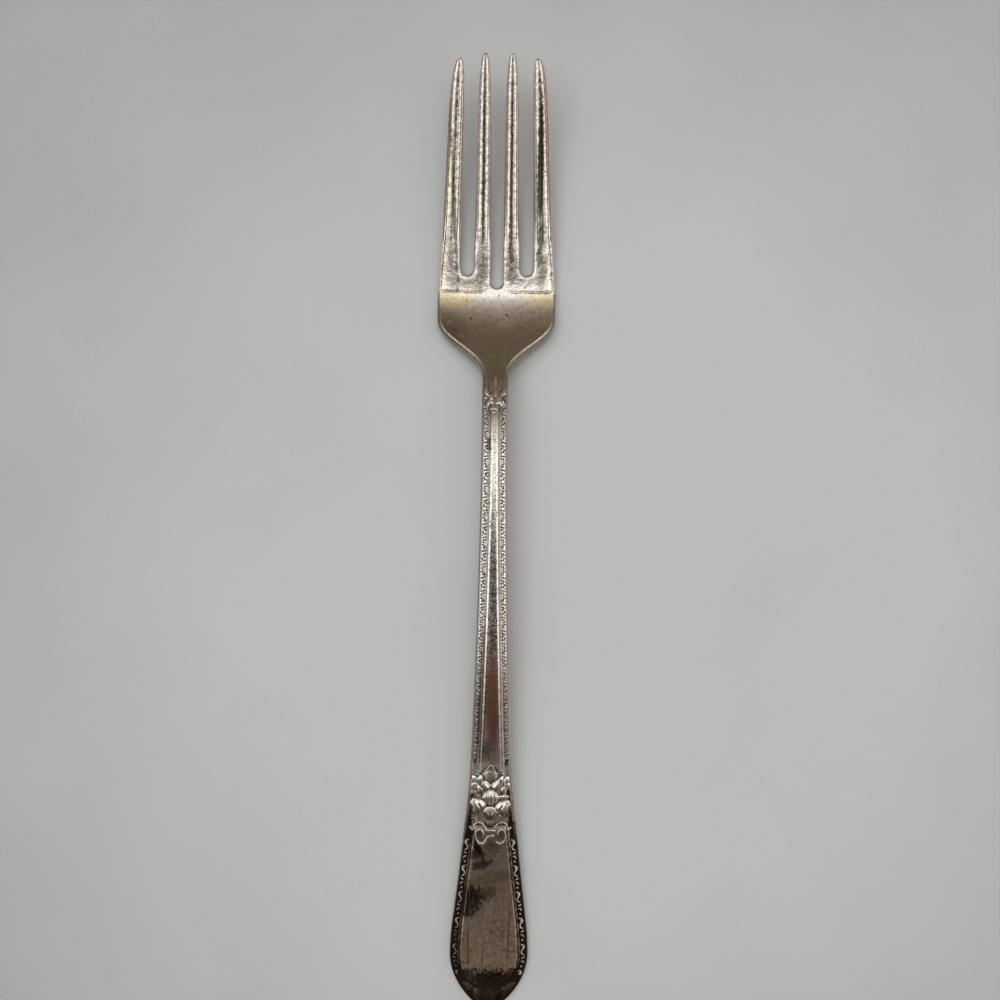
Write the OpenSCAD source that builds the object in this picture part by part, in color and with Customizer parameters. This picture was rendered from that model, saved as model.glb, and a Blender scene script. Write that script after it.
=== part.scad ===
// Dinner fork with a chased handle, lying tines up on its heel and its handle's end.
// X runs across the fork, Y from the handle's end to the tines, Z up.

/* [Lengths along the fork] */
// Length of the wide handle end, from its tip to the flower spray
end_l = 51; // [40:1:60]
// Length of the stem, from the spray to the neck
stem_l = 70; // [50:1:85]
// Length of the neck, from the stem to where the shoulders begin
neck_l = 4.5; // [3:0.5:8]
// Length of the bowl, from the shoulders to the step under the tines
bowl_l = 19; // [16:0.5:24]
// Length of the web between the step and the free tines
root_l = 8.5; // [7:0.5:12]
// Length of the free inner tines
tine_l = 37; // [30:0.5:45]
// How much shorter the outer tines are
outer_tine_short = 0.9; // [0:0.1:3]

/* [Widths] */
// Greatest width of the handle's end
end_w = 15.7; // [12:0.1:18]
// Distance from the tip of the handle to its widest place
end_round_l = 11.5; // [8:0.5:16]
// Width of the stem at its narrowest
stem_w = 5.2; // [4.8:0.1:6.5]
// Greatest width of the bowl
bowl_w = 23.6; // [21:0.1:27]
// Length of the curved shoulders of the bowl
shoulder_l = 14; // [11:0.5:15]
// Width of the fork where the free tines begin
root_w = 22.5; // [20:0.1:24]

/* [Side profile] */
// Height of the underside at the top of the handle's arch
arch_h = 7; // [6:0.1:10]
// Distance from the bowl back to the top of the arch
arch_back = 25.5; // [20:0.5:40]
// Height of the underside where the bowl meets the neck
neck_h = 4.1; // [3.4:0.1:4.8]
// Downward slope of the neck, in degrees
neck_slope = 18; // [14:1:22]
// Height of the underside at the tips of the tines
tip_h = 11.8; // [9:0.1:15]
// Upward slope of the tines at their tips, in degrees
tip_slope = 18; // [12:1:22]
// Upward slope where the tines leave the heel, in degrees
root_slope = 10.8; // [8:0.2:13]
// Distance from the step back to the lowest place of the heel
heel_back = 1.5; // [1.4:0.1:2.5]
// Distance from the heel to where the tines leave it
root_rise_l = 6; // [5:0.5:8]
// Distance from the tip of the handle to where it rests
rest_at = 7; // [5:0.5:10]
// Lift of the handle's tip above the table
end_lift = 0.25; // [0:0.05:0.6]
// Depth worn flat where the fork rests
wear = 0.04; // [0.02:0.01:0.08]

/* [Thickness] */
// Thickness at the tip of the handle
end_t = 2; // [1.6:0.1:2.6]
// Thickness of the handle's end at the flower spray
spray_t = 2.8; // [2.2:0.1:3.4]
// Thickness at the top of the arch
arch_t = 3.5; // [2.8:0.1:4.2]
// Thickness of the neck
neck_t = 4; // [3.2:0.1:4.6]
// Thickness of the bowl at the step
bowl_t = 2.8; // [2.2:0.1:3.4]
// Thickness where the free tines begin
root_t = 2.5; // [2:0.1:3]
// Thickness of the tines where their points begin
tine_t = 1.9; // [1.5:0.1:2.3]
// Depth of the dished front of the bowl
dish = 0.5; // [0.2:0.05:0.8]
// Rise of the bowl's back from its middle to its sides
belly = 0.3; // [0.1:0.05:0.5]
// Height of the step between the bowl and the tines
step_h = 0.13; // [0.05:0.01:0.25]

/* [Tines] */
// Width of the middle slot
middle_slot_w = 2.4; // [2:0.1:3]
// Width of the two outer slots
outer_slot_w = 2.7; // [2.2:0.1:3.2]
// Distance of an outer slot from the middle of the fork
outer_slot_x = 5.97; // [5.4:0.05:6.5]
// Distance from the step to the round end of the middle slot
middle_slot_at = 1.4; // [1.2:0.1:3]
// Distance from the step to the round ends of the outer slots
outer_slot_at = 4; // [3:0.1:5]
// Distance of an inner tip from the middle of the fork
inner_tip_x = 2.65; // [2.2:0.05:3.2]
// Distance of an outer tip from the middle of the fork
outer_tip_x = 7.45; // [7:0.05:9]
// Length of the pointed part of a tine
point_l = 13; // [9:0.5:18]
// Sideways bend of an outer tine's point
point_bend = 0.45; // [0:0.05:0.8]
// Width of the bevel round the slots
slot_bevel_w = 0.5; // [0.3:0.05:0.7]
// Depth of the bevel round the slots
slot_bevel_h = 0.5; // [0.3:0.05:0.6]

/* [Edges and handle panel] */
// Width of the rounded edge along the stem and the bowl
edge_w = 0.5; // [0.3:0.05:0.6]
// Width of the rounded edge at the handle's end
end_edge_w = 0.95; // [0.6:0.05:1.2]
// Drop of the rounded edge
edge_h = 0.5; // [0.3:0.05:0.6]
// Height of the plain edge on the back
back_edge_h = 0.8; // [0.5:0.05:1]
// Width of the band that holds the husk border
border_w = 0.8; // [0.6:0.05:1]
// Width of the bevel of the raised centre panel
panel_bevel_w = 0.6; // [0.3:0.05:0.65]
// Height of the raised centre panel over the border
panel_h = 0.28; // [0.15:0.01:0.4]

/* [Ornament] */
// Height of the husks over the border
husk_h = 0.26; // [0.15:0.01:0.35]
// Length of one husk motif along the stem
stem_husk_l = 5.2; // [4:0.1:7]
// Length of one husk motif on the handle's end
end_husk_l = 2.7; // [2.2:0.1:4]
// Height of the flower's petals
petal_h = 0.4; // [0.2:0.05:0.6]
// Length of a large petal of the flower
petal_l = 3.6; // [3:0.1:4.4]
// Diameter of the flower's bud
bud_d = 3; // [2.4:0.1:3.6]
// Outer diameter of a scroll
scroll_d = 3; // [2.4:0.1:3.2]
// Width of the raised line of a scroll
scroll_line_w = 0.5; // [0.35:0.05:0.7]
// Height of the raised line of a scroll
scroll_h = 0.22; // [0.15:0.01:0.35]
// Length of the leaf spray on the neck
neck_spray_l = 6; // [5:0.1:7]
// Height of the leaves on the neck
neck_leaf_h = 0.22; // [0.12:0.01:0.35]
// Length of the leaf tip at the handle's end
tip_leaf_l = 5; // [4:0.1:6]
// Height of the leaves at the handle's end
tip_leaf_h = 0.2; // [0.1:0.01:0.3]

/* [Hidden] */

silver = "#c9c6bf";
silver_warm = "#b8b0a2";
chased = "#8f877b";

// Stations along the fork, counted from the tip of the handle
neck_at = end_l + stem_l;
bowl_at = neck_at + neck_l;
step_at = bowl_at + bowl_l;
free_at = step_at + root_l;
fork_l = free_at + tine_l;
crest_at = bowl_at - arch_back;
heel_at = step_at - heel_back;
rise_at = heel_at + root_rise_l;
point_at = fork_l - point_l;
// The chased ground lies between these, and from the tip to the end of its leaves
spray_to = end_l - panel_bevel_w;
spray_from = spray_to - 4 * petal_l;
tip_to = tip_leaf_l + panel_bevel_w;

// A cut that must pass right through runs this far past the metal
over = 1;
// How blunt the handle's tip is, and the width left at its very tip
oval_power = 0.72;
oval_share = 0.04;
// How late the web narrows behind the heel
root_power = 1.6;
// An edge takes no more of the half width, and no more of the thickness, than this
edge_share = 0.25;
edge_h_share = 0.33;
// The back's edge is this many times as wide as the front's
back_edge_share = 2;
// The raised panel keeps this share of the half width, its bevel this share of the band
panel_share = 0.2;
bevel_share = 0.45;
// A tine: width share at its point, how full the point is, length share of its start
point_share = 0.76;
point_power = 2.2;
start_share = 0.2;
tip_t_share = 0.8;
// A leaf: corners of its outline, place and height of its inner ring, and how much it narrows
leaf_points = 8;
leaf_in_share = 0.6;
leaf_h_share = 0.75;
leaf_narrow_share = 0.3;
husk_w_share = 0.45;
// Half width and thickness left at a tine's very tip
tip_half = 0.16;
tip_t = 0.5;
// Height that the rims of the ornament stand over their ground
rim_h = 0.03;

// How the handle widens from the neck (place 1) to its widest place (place 0)
handle_shares = [
    [0, 1], [0.03, 0.975], [0.061, 0.907], [0.134, 0.72], [0.207, 0.545], [0.279, 0.37],
    [0.339, 0.286], [0.459, 0.187], [0.634, 0.075], [0.753, 0.026], [0.85, 0], [1, 0]
];
// Places across half of the raised panel
panel_shares = [0, 0.25, 0.5, 0.75, 1];
// Section of a tine: shares of its half width, and of its thickness on the front and the back
tine_shares = [
    [-1, 0.52, 0.3], [-0.74, 0.86, 0.06], [-0.3, 1, 0], [0.3, 1, 0], [0.74, 0.86, 0.06], [1, 0.52, 0.3]
];
// One husk motif of the stem and of the handle's end: place along it, height and width
stem_husk_shares = [
    [0, 0.05, 0.5], [0.1, 1, 1], [0.22, 0.15, 0.8], [0.34, 0.95, 1], [0.48, 0.1, 0.5], [0.68, 0.8, 0.8],
    [0.86, 0.5, 0.5]
];
end_husk_shares = [[0, 0.05, 0.45], [0.25, 1, 1], [0.5, 0.15, 0.75], [0.75, 0.9, 0.85]];
// Leaves: across, along, length, width, turn in degrees and height, lengths in petal lengths
spray_shares = [
    [0, 1.22, 1.1, 0.5, 0, 0.8], [-0.66, 0.98, 0.6, 0.34, 60, 0.9], [0.66, 0.98, 0.6, 0.34, -60, 0.9],
    [-0.74, 0.56, 0.52, 0.3, 52, 0.7], [0.74, 0.56, 0.52, 0.3, -52, 0.7],
    [-0.8, 0.16, 0.44, 0.26, 75, 0.7], [0.8, 0.16, 0.44, 0.26, -75, 0.7],
    [-0.76, -0.5, 0.86, 0.62, 52, 1], [0.76, -0.5, 0.86, 0.62, -52, 1], [0, -0.84, 0.7, 0.5, 180, 0.75],
    [-0.74, -1.08, 0.62, 0.14, 98, 0.5], [0.74, -1.08, 0.62, 0.14, -98, 0.5]
];
// The same for the neck and the tip, lengths in the length of the spray
neck_shares = [
    [0, 0.62, 0.62, 0.13, 0, 1], [-0.15, 0.46, 0.42, 0.1, 10, 0.9], [0.15, 0.46, 0.42, 0.1, -10, 0.9],
    [-0.22, 0.13, 0.2, 0.1, 40, 0.8], [0.22, 0.13, 0.2, 0.1, -40, 0.8], [0, 0.14, 0.22, 0.14, 0, 1]
];
tip_shares = [
    [0, 0.66, 0.6, 0.22, 0, 1], [-0.32, 0.66, 0.5, 0.18, 22, 0.9], [0.32, 0.66, 0.5, 0.18, -22, 0.9],
    [-0.68, 0.84, 0.46, 0.18, 50, 0.8], [0.68, 0.84, 0.46, 0.18, -50, 0.8]
];

function bound(u) = min(1, max(0, u));
function ease(u) = let(v = bound(u)) v * v * v * (v * (v * 6 - 15) + 10);
function blend(a, b, u) = a + (b - a) * u;
function ramp(s, from, to) = bound((s - from) / (to - from));
function backwards(list) = [for (i = [len(list) - 1 : -1 : 0]) list[i]];
function steps(from, to, n) = [for (i = [0 : n]) blend(from, to, i / n)];
// Places that crowd towards the start, for a round end
function crowded(from, to, n) = [for (i = [0 : n]) blend(from, to, 1 - cos(90 * i / n))];

// Row of a table that holds place s
function row_of(rows, s, i = 0) = i >= len(rows) - 2 || s < rows[i + 1][0] ? i : row_of(rows, s, i + 1);
// Smooth curve through rows of [place, value, slope]
function curve(rows, s) =
    let(i = row_of(rows, s), a = rows[i], b = rows[i + 1], l = b[0] - a[0], u = bound((s - a[0]) / l))
    a[1] * (2 * u * u * u - 3 * u * u + 1) + b[1] * (3 * u * u - 2 * u * u * u)
    + l * a[2] * (u * u * u - 2 * u * u + u) + l * b[2] * (u * u * u - u * u);
// The slope of that curve
function curve_slope(rows, s) =
    let(i = row_of(rows, s), a = rows[i], b = rows[i + 1], l = b[0] - a[0], u = bound((s - a[0]) / l))
    (b[1] - a[1]) / l * (6 * u - 6 * u * u) + a[2] * (3 * u * u - 4 * u + 1) + b[2] * (3 * u * u - 2 * u);
// Gives rows of [place, value] the slopes of a flowing curve
function flowing(rows) = [
    for (i = [0 : len(rows) - 1])
        let(a = rows[max(0, i - 1)], b = rows[min(len(rows) - 1, i + 1)])
        [rows[i][0], rows[i][1], (b[1] - a[1]) / (b[0] - a[0])]
];

// Underside of the fork seen from the side: place, height and slope
profile = [
    [0, end_lift, 0],
    [rest_at, -wear, 0],
    [crest_at, arch_h, 0],
    [bowl_at, neck_h, -tan(neck_slope)],
    [heel_at, -wear, 0],
    [rise_at, tan(root_slope) / 2 * root_rise_l, tan(root_slope)],
    [fork_l, tip_h, tan(tip_slope)]
];
thickness = flowing([
    [0, end_t],
    [end_l, spray_t],
    [crest_at, arch_t],
    [bowl_at, neck_t],
    [heel_at, bowl_t],
    [free_at, root_t],
    [point_at, tine_t],
    [fork_l, tip_t_share * tine_t]
]);
handle_curve = flowing(handle_shares);
// The middle of the length, which loses a little to the lean of the tips
middle_y = (fork_l - sin(lean(fork_l)) * (thick(fork_l) - step_h - tip_t) / 2) / 2;

function under(s) = curve(profile, s);
function lean(s) = atan(curve_slope(profile, s));
function thick(s) = curve(thickness, s);
// Half width: a pointed oval at the tip, then the flared handle, the ogee shoulders and the tine root
function oval(s) = pow(max(0, 1 - pow(1 - s / end_round_l, 2)), oval_power);
function handle_half(s) =
    s < end_round_l
        ? end_w / 2 * max(oval_share, oval(s))
        : blend(stem_w, end_w, curve(handle_curve, (s - end_round_l) / (bowl_at - end_round_l))) / 2;
function bowl_half(s) = blend(stem_w, bowl_w, ease((s - bowl_at) / shoulder_l)) / 2;
function root_half(s) = blend(bowl_w, root_w, pow(ramp(s, heel_at, free_at), root_power)) / 2;
function half(s) = s < bowl_at ? handle_half(s) : s < heel_at ? bowl_half(s) : root_half(s);

// Rounded edge, raised panel, chased ground and dish at a place
function edge_at(s) = min(blend(end_edge_w, edge_w, ramp(s, end_round_l, end_l)), edge_share * half(s));
function panel_half(s) = max(panel_share * half(s), half(s) - edge_at(s) - border_w - panel_bevel_w);
function bevel_at(s) = min(panel_bevel_w, bevel_share * (half(s) - edge_at(s) - panel_half(s)));
function panel_at(s) = panel_h * (1 - ramp(s, neck_at, bowl_at));
function ground_at(s) =
    max(
        min(ramp(s, spray_from - panel_bevel_w, spray_from), 1 - ramp(s, spray_to, end_l)),
        1 - ramp(s, tip_leaf_l, tip_to)
    );
function hollow(s) = ease(ramp(s, bowl_at, bowl_at + shoulder_l)) * (1 - ramp(s, step_at, free_at));

// Height of the front over the underside, at place s and distance x from the middle
function front_h(s, x, drop = 0) =
    let(w = half(s), e = edge_at(s), p = panel_half(s), a = min(abs(x), w))
    thick(s) - drop - dish * hollow(s) * (1 - a * a / w / w)
    - panel_at(s) * max(ground_at(s), ramp(a, p, p + bevel_at(s)))
    - min(edge_h, edge_h_share * thick(s)) * ramp(a, w - e, w);
// Height of the back over the underside: the bowl's belly, and the edge, which fades out at the tines
function back_h(s, x) =
    let(w = half(s))
    belly * hollow(s) * x * x / w / w
    + min(back_edge_h, edge_h_share * thick(s)) * ramp(abs(x), w - back_edge_share * edge_at(s), w)
    * (1 - ramp(s, rise_at, free_at));

// A point at place s, x across and h over the underside, square to the side profile
function at(s, x, h) = let(a = lean(s)) [x, s - h * sin(a) - middle_y, under(s) + h * cos(a)];
function on_front(s, x, lift) = at(s, x, front_h(s, x) + lift);

// Section of a plate at place s, first its front from left to right, then its back
function across(s) =
    let(w = half(s), p = panel_half(s))
    concat([for (u = panel_shares) u * p], [p + bevel_at(s), w - edge_at(s), w]);
function both_sides(xs) = concat([for (i = [len(xs) - 1 : -1 : 1]) -xs[i]], xs);
function plate_ring(s, drop = 0) =
    let(xs = both_sides(across(s)))
    concat([for (x = xs) at(s, x, front_h(s, x, drop))], [for (x = backwards(xs)) at(s, x, back_h(s, x))]);

// Two triangles between front places j and j + 1 of a section and the back under them
function strip_cell(j, n, base) =
    [[base + j, base + j + 1, base + n - 1 - j], [base + j + 1, base + n - 2 - j, base + n - 1 - j]];
// Solid through sections that have as many places on the front as on the back
module loft(rings) {
    n = len(rings[0]);
    m = len(rings) - 1;
    sides = [
        for (i = [0 : m - 1], j = [0 : n - 1])
            let(k = (j + 1) % n, a = i * n, b = a + n)
            each [[a + j, b + j, a + k], [a + k, b + j, b + k]]
    ];
    first = [for (j = [0 : n / 2 - 2]) each strip_cell(j, n, 0)];
    last = [for (j = [0 : n / 2 - 2]) for (f = strip_cell(j, n, m * n)) backwards(f)];
    polyhedron([for (r = rings) each r], concat(sides, first, last));
}
module plate(stations, drop = 0) {
    loft([for (s = stations) plate_ring(s, drop)]);
}
// What the table has worn away
module table() {
    reach = end_w + bowl_w;
    translate([-reach, -fork_l, -over]) cube([2 * reach, 2 * fork_l, over]);
}

// Plan of a slot: straight sides from past the web and a round end towards the bowl
function slot_outline(x, w, end, grow) =
    let(r = w / 2, c = step_at + end + r)
    concat(
        [[free_at + over, x - r - grow]],
        [for (a = [180 : 20 : 360]) [c + (r + grow) * sin(a), x + (r + grow) * cos(a)]],
        [[free_at + over, x + r + grow]]
    );
// The slot and the bevel round its front edge, as one cutter that follows the web
module slot(x, w, end) {
    levels = [[0, -thick(step_at) - over], [0, -slot_bevel_h], [2 * slot_bevel_w, slot_bevel_h]];
    loft([
        for (l = levels)
            [for (p = slot_outline(x, w, end, l[0])) at(p[0], p[1], front_h(p[0], x, step_h) + l[1])]
    ]);
}

// A tine: middle and half width where it leaves the web and where its point would end
outer_start_half = (root_w / 2 - outer_slot_x - outer_slot_w / 2) / 2;
inner_start_half = (outer_slot_x - outer_slot_w / 2 - middle_slot_w / 2) / 2;
outer_from = root_w / 2 - outer_start_half;
inner_from = middle_slot_w / 2 + inner_start_half;
outer_tine = [outer_from, outer_start_half, outer_tip_x + point_bend, fork_l - outer_tine_short];
inner_tine = [inner_from, inner_start_half, inner_tip_x, fork_l];
function tine_point(t, s) = pow(max(0, 1 - pow(ramp(s, t[3] - point_l, t[3]), point_power)), 0.5);
function tine_half(t, s) =
    max(tip_half, t[1] * blend(1, point_share, ramp(s, free_at, t[3])) * tine_point(t, s));
function tine_middle(t, s, bend) = blend(t[0], t[2], ramp(s, free_at, t[3])) - bend * (1 - tine_point(t, s));
function tine_ring(t, s, side, bend) =
    let(
        w = tine_half(t, s), x = tine_middle(t, s, bend) * side, full = thick(s) - step_h,
        h = max(tip_t, full * pow(tine_point(t, s), 0.5)), low = (full - h) / 2,
        start = 1 - ramp(s, free_at, free_at + start_share * tine_l),
        rim = blend(tine_shares[0][1], 1 - slot_bevel_h / full, start),
        shoulder = blend(-tine_shares[1][0], 1 - slot_bevel_w / w, start),
        crown = blend(tine_shares[1][1], 1, start),
        places = [-1, -shoulder, tine_shares[2][0], tine_shares[3][0], shoulder, 1],
        front = [rim, crown, 1, 1, crown, rim],
        back = [for (r = tine_shares) r[2] * (1 - start)]
    )
    concat(
        [for (i = [0 : 5]) at(s, x + places[i] * w, low + h * front[i])],
        [for (i = [5 : -1 : 0]) at(s, x + places[i] * w, low + h * back[i])]
    );
module tine(t, side, bend) {
    stations = concat(
        steps(free_at, t[3] - point_l, 8),
        backwards([for (s = crowded(0, point_l, 9)) if (s < point_l) t[3] - s])
    );
    color(silver) loft([for (s = stations) tine_ring(t, s, side, bend)]);
}
module tine_outer_left() { tine(outer_tine, -1, point_bend); }
module tine_inner_left() { tine(inner_tine, -1, 0); }
module tine_inner_right() { tine(inner_tine, 1, 0); }
module tine_outer_right() { tine(outer_tine, 1, point_bend); }
module tine_root() color(silver) difference() {
    plate(steps(step_at, free_at, 9), step_h);
    slot(0, middle_slot_w, middle_slot_at);
    for (side = [-1, 1])
        slot(side * outer_slot_x, outer_slot_w, outer_slot_at);
    table();
}
module bowl() color(silver_warm) difference() {
    plate(steps(bowl_at, step_at, 19));
    table();
}
module neck() color(silver) plate(steps(neck_at, bowl_at, 5));
module stem() color(silver) plate(steps(end_l, neck_at, 20));
module handle_end() color(silver_warm) difference() {
    plate(concat(
        crowded(0, tip_leaf_l, 8), steps(tip_to, spray_from - panel_bevel_w, 9),
        steps(spray_from, spray_to, 5), [end_l]
    ));
    table();
}

// A leaf on the front: round outline, rising to a ridge
module leaf(s, x, l, w, turn, h) {
    function leaf_point(a, grow, lift) =
        let(
            along = l / 2 * cos(a) * grow, side = w / 2 * sin(a) * (1 - leaf_narrow_share * cos(a)) * grow,
            place = s + along * cos(turn) + side * sin(turn), left = x - along * sin(turn) + side * cos(turn)
        )
        on_front(place, left, lift);
    n = leaf_points;
    corners = [for (i = [n : -1 : 1]) 360 * i / n];
    points = concat(
        [for (a = corners) leaf_point(a, 1, 0)],
        [for (a = corners) leaf_point(a, leaf_in_share, leaf_h_share * h)],
        [leaf_point(0, 0, h)]
    );
    skirt = [
        for (j = [0 : n - 1])
            let(k = (j + 1) % n)
            each [[j, n + j, k], [k, n + j, n + k], [n + j, 2 * n, n + k]]
    ];
    polyhedron(points, concat(skirt, [for (j = [1 : n - 2]) [0, j, j + 1]]));
}
module leaves(rows, unit, pitch, from, h) {
    for (r = rows) leaf(from + r[1] * pitch, r[0] * unit, r[2] * unit, r[3] * unit, r[4], r[5] * h);
}
// A raised line on the front through rows of [place, across, half width, height]
module ribbon(rows) {
    n = len(rows) - 1;
    loft([
        for (i = [0 : n])
            let(
                r = rows[i], d = rows[min(n, i + 1)] - rows[max(0, i - 1)], l = norm([d[0], d[1]]),
                side = [-d[1] / l, d[0] / l] * r[2],
                edges = [for (u = [-1, 0, 1]) [r[0] + side[0] * u, r[1] + side[1] * u]]
            )
            concat(
                [for (u = [0 : 2]) on_front(edges[u][0], edges[u][1], u == 1 ? r[3] : rim_h)],
                [for (u = [2 : -1 : 0]) on_front(edges[u][0], edges[u][1], 0)]
            )
    ]);
}
module husks(from, to, motif_l, motif, side) {
    n = round((to - from) / motif_l);
    pitch = (to - from) / n;
    color(chased) ribbon([
        for (i = [0 : n - 1], m = motif)
            let(s = from + (i + m[0]) * pitch, x = side * (half(s) - edge_at(s) - border_w / 2))
            [s, x, husk_w_share * border_w * m[2], husk_h * m[1] + rim_h]
    ]);
}
module stem_husks(side) {
    husks(end_l + panel_bevel_w, neck_at - panel_bevel_w, stem_husk_l, stem_husk_shares, side);
}
module end_husks(side) {
    husks(tip_to + panel_bevel_w, spray_from - 2 * panel_bevel_w, end_husk_l, end_husk_shares, side);
}
module stem_husks_left() { stem_husks(-1); }
module stem_husks_right() { stem_husks(1); }
module end_husks_left() { end_husks(-1); }
module end_husks_right() { end_husks(1); }

// The flower's own place under the top of its ground, in petal lengths
flower_share = 1.85;
// Shares of the width inside the edge that a petal and a scroll may take
spray_room_share = 0.915;
scroll_room_share = 0.7;
flower_at = spray_to - flower_share * petal_l;
// A petal length, or less where the handle is too narrow for it
spray_l = min(petal_l, spray_room_share * (half(flower_at) - edge_at(flower_at)));
module flower_spray() color(chased) {
    leaves(spray_shares, spray_l, petal_l, flower_at, petal_h);
    leaf(flower_at, 0, min(bud_d, spray_l), min(bud_d, spray_l), 0, petal_h);
}
// Scrolls, in their diameter: place along and across, half length and half width of arch and ring
scroll_at = spray_from + scroll_d;
scroll_w = min(scroll_d, scroll_room_share * (half(scroll_at) - edge_at(scroll_at)));
// How far past a half circle the ring of a scroll turns in, in degrees
scroll_turn = 50;
scroll_shares = [[0.1, 0.76, 0.42, 0.5], [-0.2, 0.76, 0.34, 0.24]];
module scroll(r, from, to, side) {
    ribbon([
        for (a = [from : (to - from) / 8 : to])
            [
                scroll_at + scroll_d * (r[0] + r[2] * sin(a)), side * scroll_w * (r[1] + r[3] * cos(a)),
                scroll_line_w / 2, scroll_h
            ]
    ]);
}
module scroll_pair() color(chased) {
    for (side = [-1, 1]) {
        scroll(scroll_shares[0], 10, 170, side);
        scroll(scroll_shares[1], -scroll_turn, 180 + scroll_turn, side);
    }
    leaf(scroll_at - scroll_d / 2, 0, 0.9 * scroll_d, 0.3 * scroll_d, 180, scroll_h);
}
module neck_leaves() color(chased) {
    leaves(neck_shares, neck_spray_l, neck_spray_l, neck_at + panel_bevel_w, neck_leaf_h);
}
module tip_leaves() color(chased) leaves(tip_shares, tip_leaf_l, tip_leaf_l, 0, tip_leaf_h);

tine_outer_left();
tine_inner_left();
tine_inner_right();
tine_outer_right();
tine_root();
bowl();
neck();
stem();
handle_end();
neck_leaves();
stem_husks_left();
stem_husks_right();
flower_spray();
scroll_pair();
end_husks_left();
end_husks_right();
tip_leaves();
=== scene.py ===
"""Looks of a chased, silver plated dinner fork that lies tines up on a pale table.

The fork is built from named regions of one forging. Places along it (s) are counted in
millimetres from the tip of the handle, places across it (x) from its middle, and heights
stand square to its side profile, as in the part's source.
"""

import logging
import math
from collections.abc import Callable
from dataclasses import dataclass, field
from enum import Enum

import bpy
import numpy as np
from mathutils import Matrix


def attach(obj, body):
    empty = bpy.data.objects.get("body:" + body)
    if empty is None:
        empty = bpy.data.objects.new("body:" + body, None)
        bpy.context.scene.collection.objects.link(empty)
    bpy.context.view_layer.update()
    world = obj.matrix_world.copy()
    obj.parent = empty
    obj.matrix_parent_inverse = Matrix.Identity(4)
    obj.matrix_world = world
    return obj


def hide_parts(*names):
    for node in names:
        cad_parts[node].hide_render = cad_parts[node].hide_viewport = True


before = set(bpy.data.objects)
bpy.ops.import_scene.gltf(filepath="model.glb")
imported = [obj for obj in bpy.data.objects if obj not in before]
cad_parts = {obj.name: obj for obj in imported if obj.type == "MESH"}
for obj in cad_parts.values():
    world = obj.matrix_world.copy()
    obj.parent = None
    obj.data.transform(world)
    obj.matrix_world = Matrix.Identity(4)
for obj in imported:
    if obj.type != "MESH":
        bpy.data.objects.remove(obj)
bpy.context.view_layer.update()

log = logging.getLogger("fork")
Array = np.ndarray
Colour = tuple[float, float, float]
MM = 0.001
QUARTER = math.pi / 2
BACK_GRIME = 0.1
JOIN = 1e-8


def bound(u: Array) -> Array:
    """Clamps u to 0 to 1."""
    return np.clip(u, 0.0, 1.0)


def ramp(s: Array, start: float, end: float) -> Array:
    """Straight rise from 0 at start to 1 at end."""
    return bound((np.asarray(s, float) - start) / (end - start))


def soft(u: Array) -> Array:
    """Rise from 0 to 1 that starts and ends level: u squared times 3 - 2u."""
    u = bound(u)
    return u * u * (3.0 - 2.0 * u)


def ease(u: Array) -> Array:
    """Softer rise, level to the second order: u cubed times 6u squared - 15u + 10."""
    u = bound(u)
    return u**3 * (u * (u * 6.0 - 15.0) + 10.0)


def bell(u: Array, width: float) -> Array:
    """Bell curve: e to the power of minus the square of u over the width."""
    return np.exp(-((u / width) ** 2))


def round_drop(u: Array, power: float = 2.0) -> Array:
    """Drop of a rounded edge: 1 minus the height of a unit superellipse at u from 0 to 1."""
    return 1.0 - (1.0 - bound(u) ** power) ** (1.0 / power)


def crowded(count: int) -> Array:
    """Row of shares from -1 to 1 that crowd at both ends: the sine of even steps."""
    return np.sin(np.linspace(-QUARTER, QUARTER, count + 1))[None, :]


def unit(v: Array) -> Array:
    """Vectors of length 1."""
    return v / np.maximum(np.linalg.norm(v, axis=-1, keepdims=True), 1e-12)


class FlowCurve:
    """Smooth curve through places, by cubic pieces with given or flowing slopes."""

    def __init__(self, *rows: tuple[float, ...]) -> None:
        """Stores the curve's knots.

        Args:
            rows: place and value of each knot, and its slope where that is given.
        """
        self.place, self.value, *given = np.array(rows, float).T
        low = np.maximum(np.arange(len(rows)) - 1, 0)
        high = np.minimum(np.arange(len(rows)) + 1, len(rows) - 1)
        flowing = (self.value[high] - self.value[low]) / (self.place[high] - self.place[low])
        self.slope = given[0] if given else flowing

    def _span(self, s: Array) -> tuple[Array, Array, Array]:
        """Finds the stretch of the curve that each place lies in.

        Args:
            s: places along the fork.

        Returns:
            Number of the knot before each, length to the next knot, and share of the way to it.
        """
        i = np.clip(np.searchsorted(self.place, s, side="right") - 1, 0, len(self.place) - 2)
        length = self.place[i + 1] - self.place[i]
        return i, length, bound((s - self.place[i]) / length)

    def __call__(self, s: Array) -> Array:
        """Value at s: the cubic Hermite polynomial of the two knots round it.

        Args:
            s: places along the fork.

        Returns:
            The curve's value at each of them.
        """
        i, length, u = self._span(np.asarray(s, float))
        ends = self.value[i] * (2 * u**3 - 3 * u**2 + 1) + self.value[i + 1] * (3 * u**2 - 2 * u**3)
        return ends + length * (self.slope[i] * (u**3 - 2 * u**2 + u) + self.slope[i + 1] * (u**3 - u**2))

    def rate(self, s: Array) -> Array:
        """Slope at s: the derivative of that polynomial.

        Args:
            s: places along the fork.

        Returns:
            The curve's slope at each of them.
        """
        i, length, u = self._span(np.asarray(s, float))
        rise = (self.value[i + 1] - self.value[i]) / length * (6 * u - 6 * u**2)
        return rise + self.slope[i] * (3 * u**2 - 4 * u + 1) + self.slope[i + 1] * (3 * u**2 - 2 * u)


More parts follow.
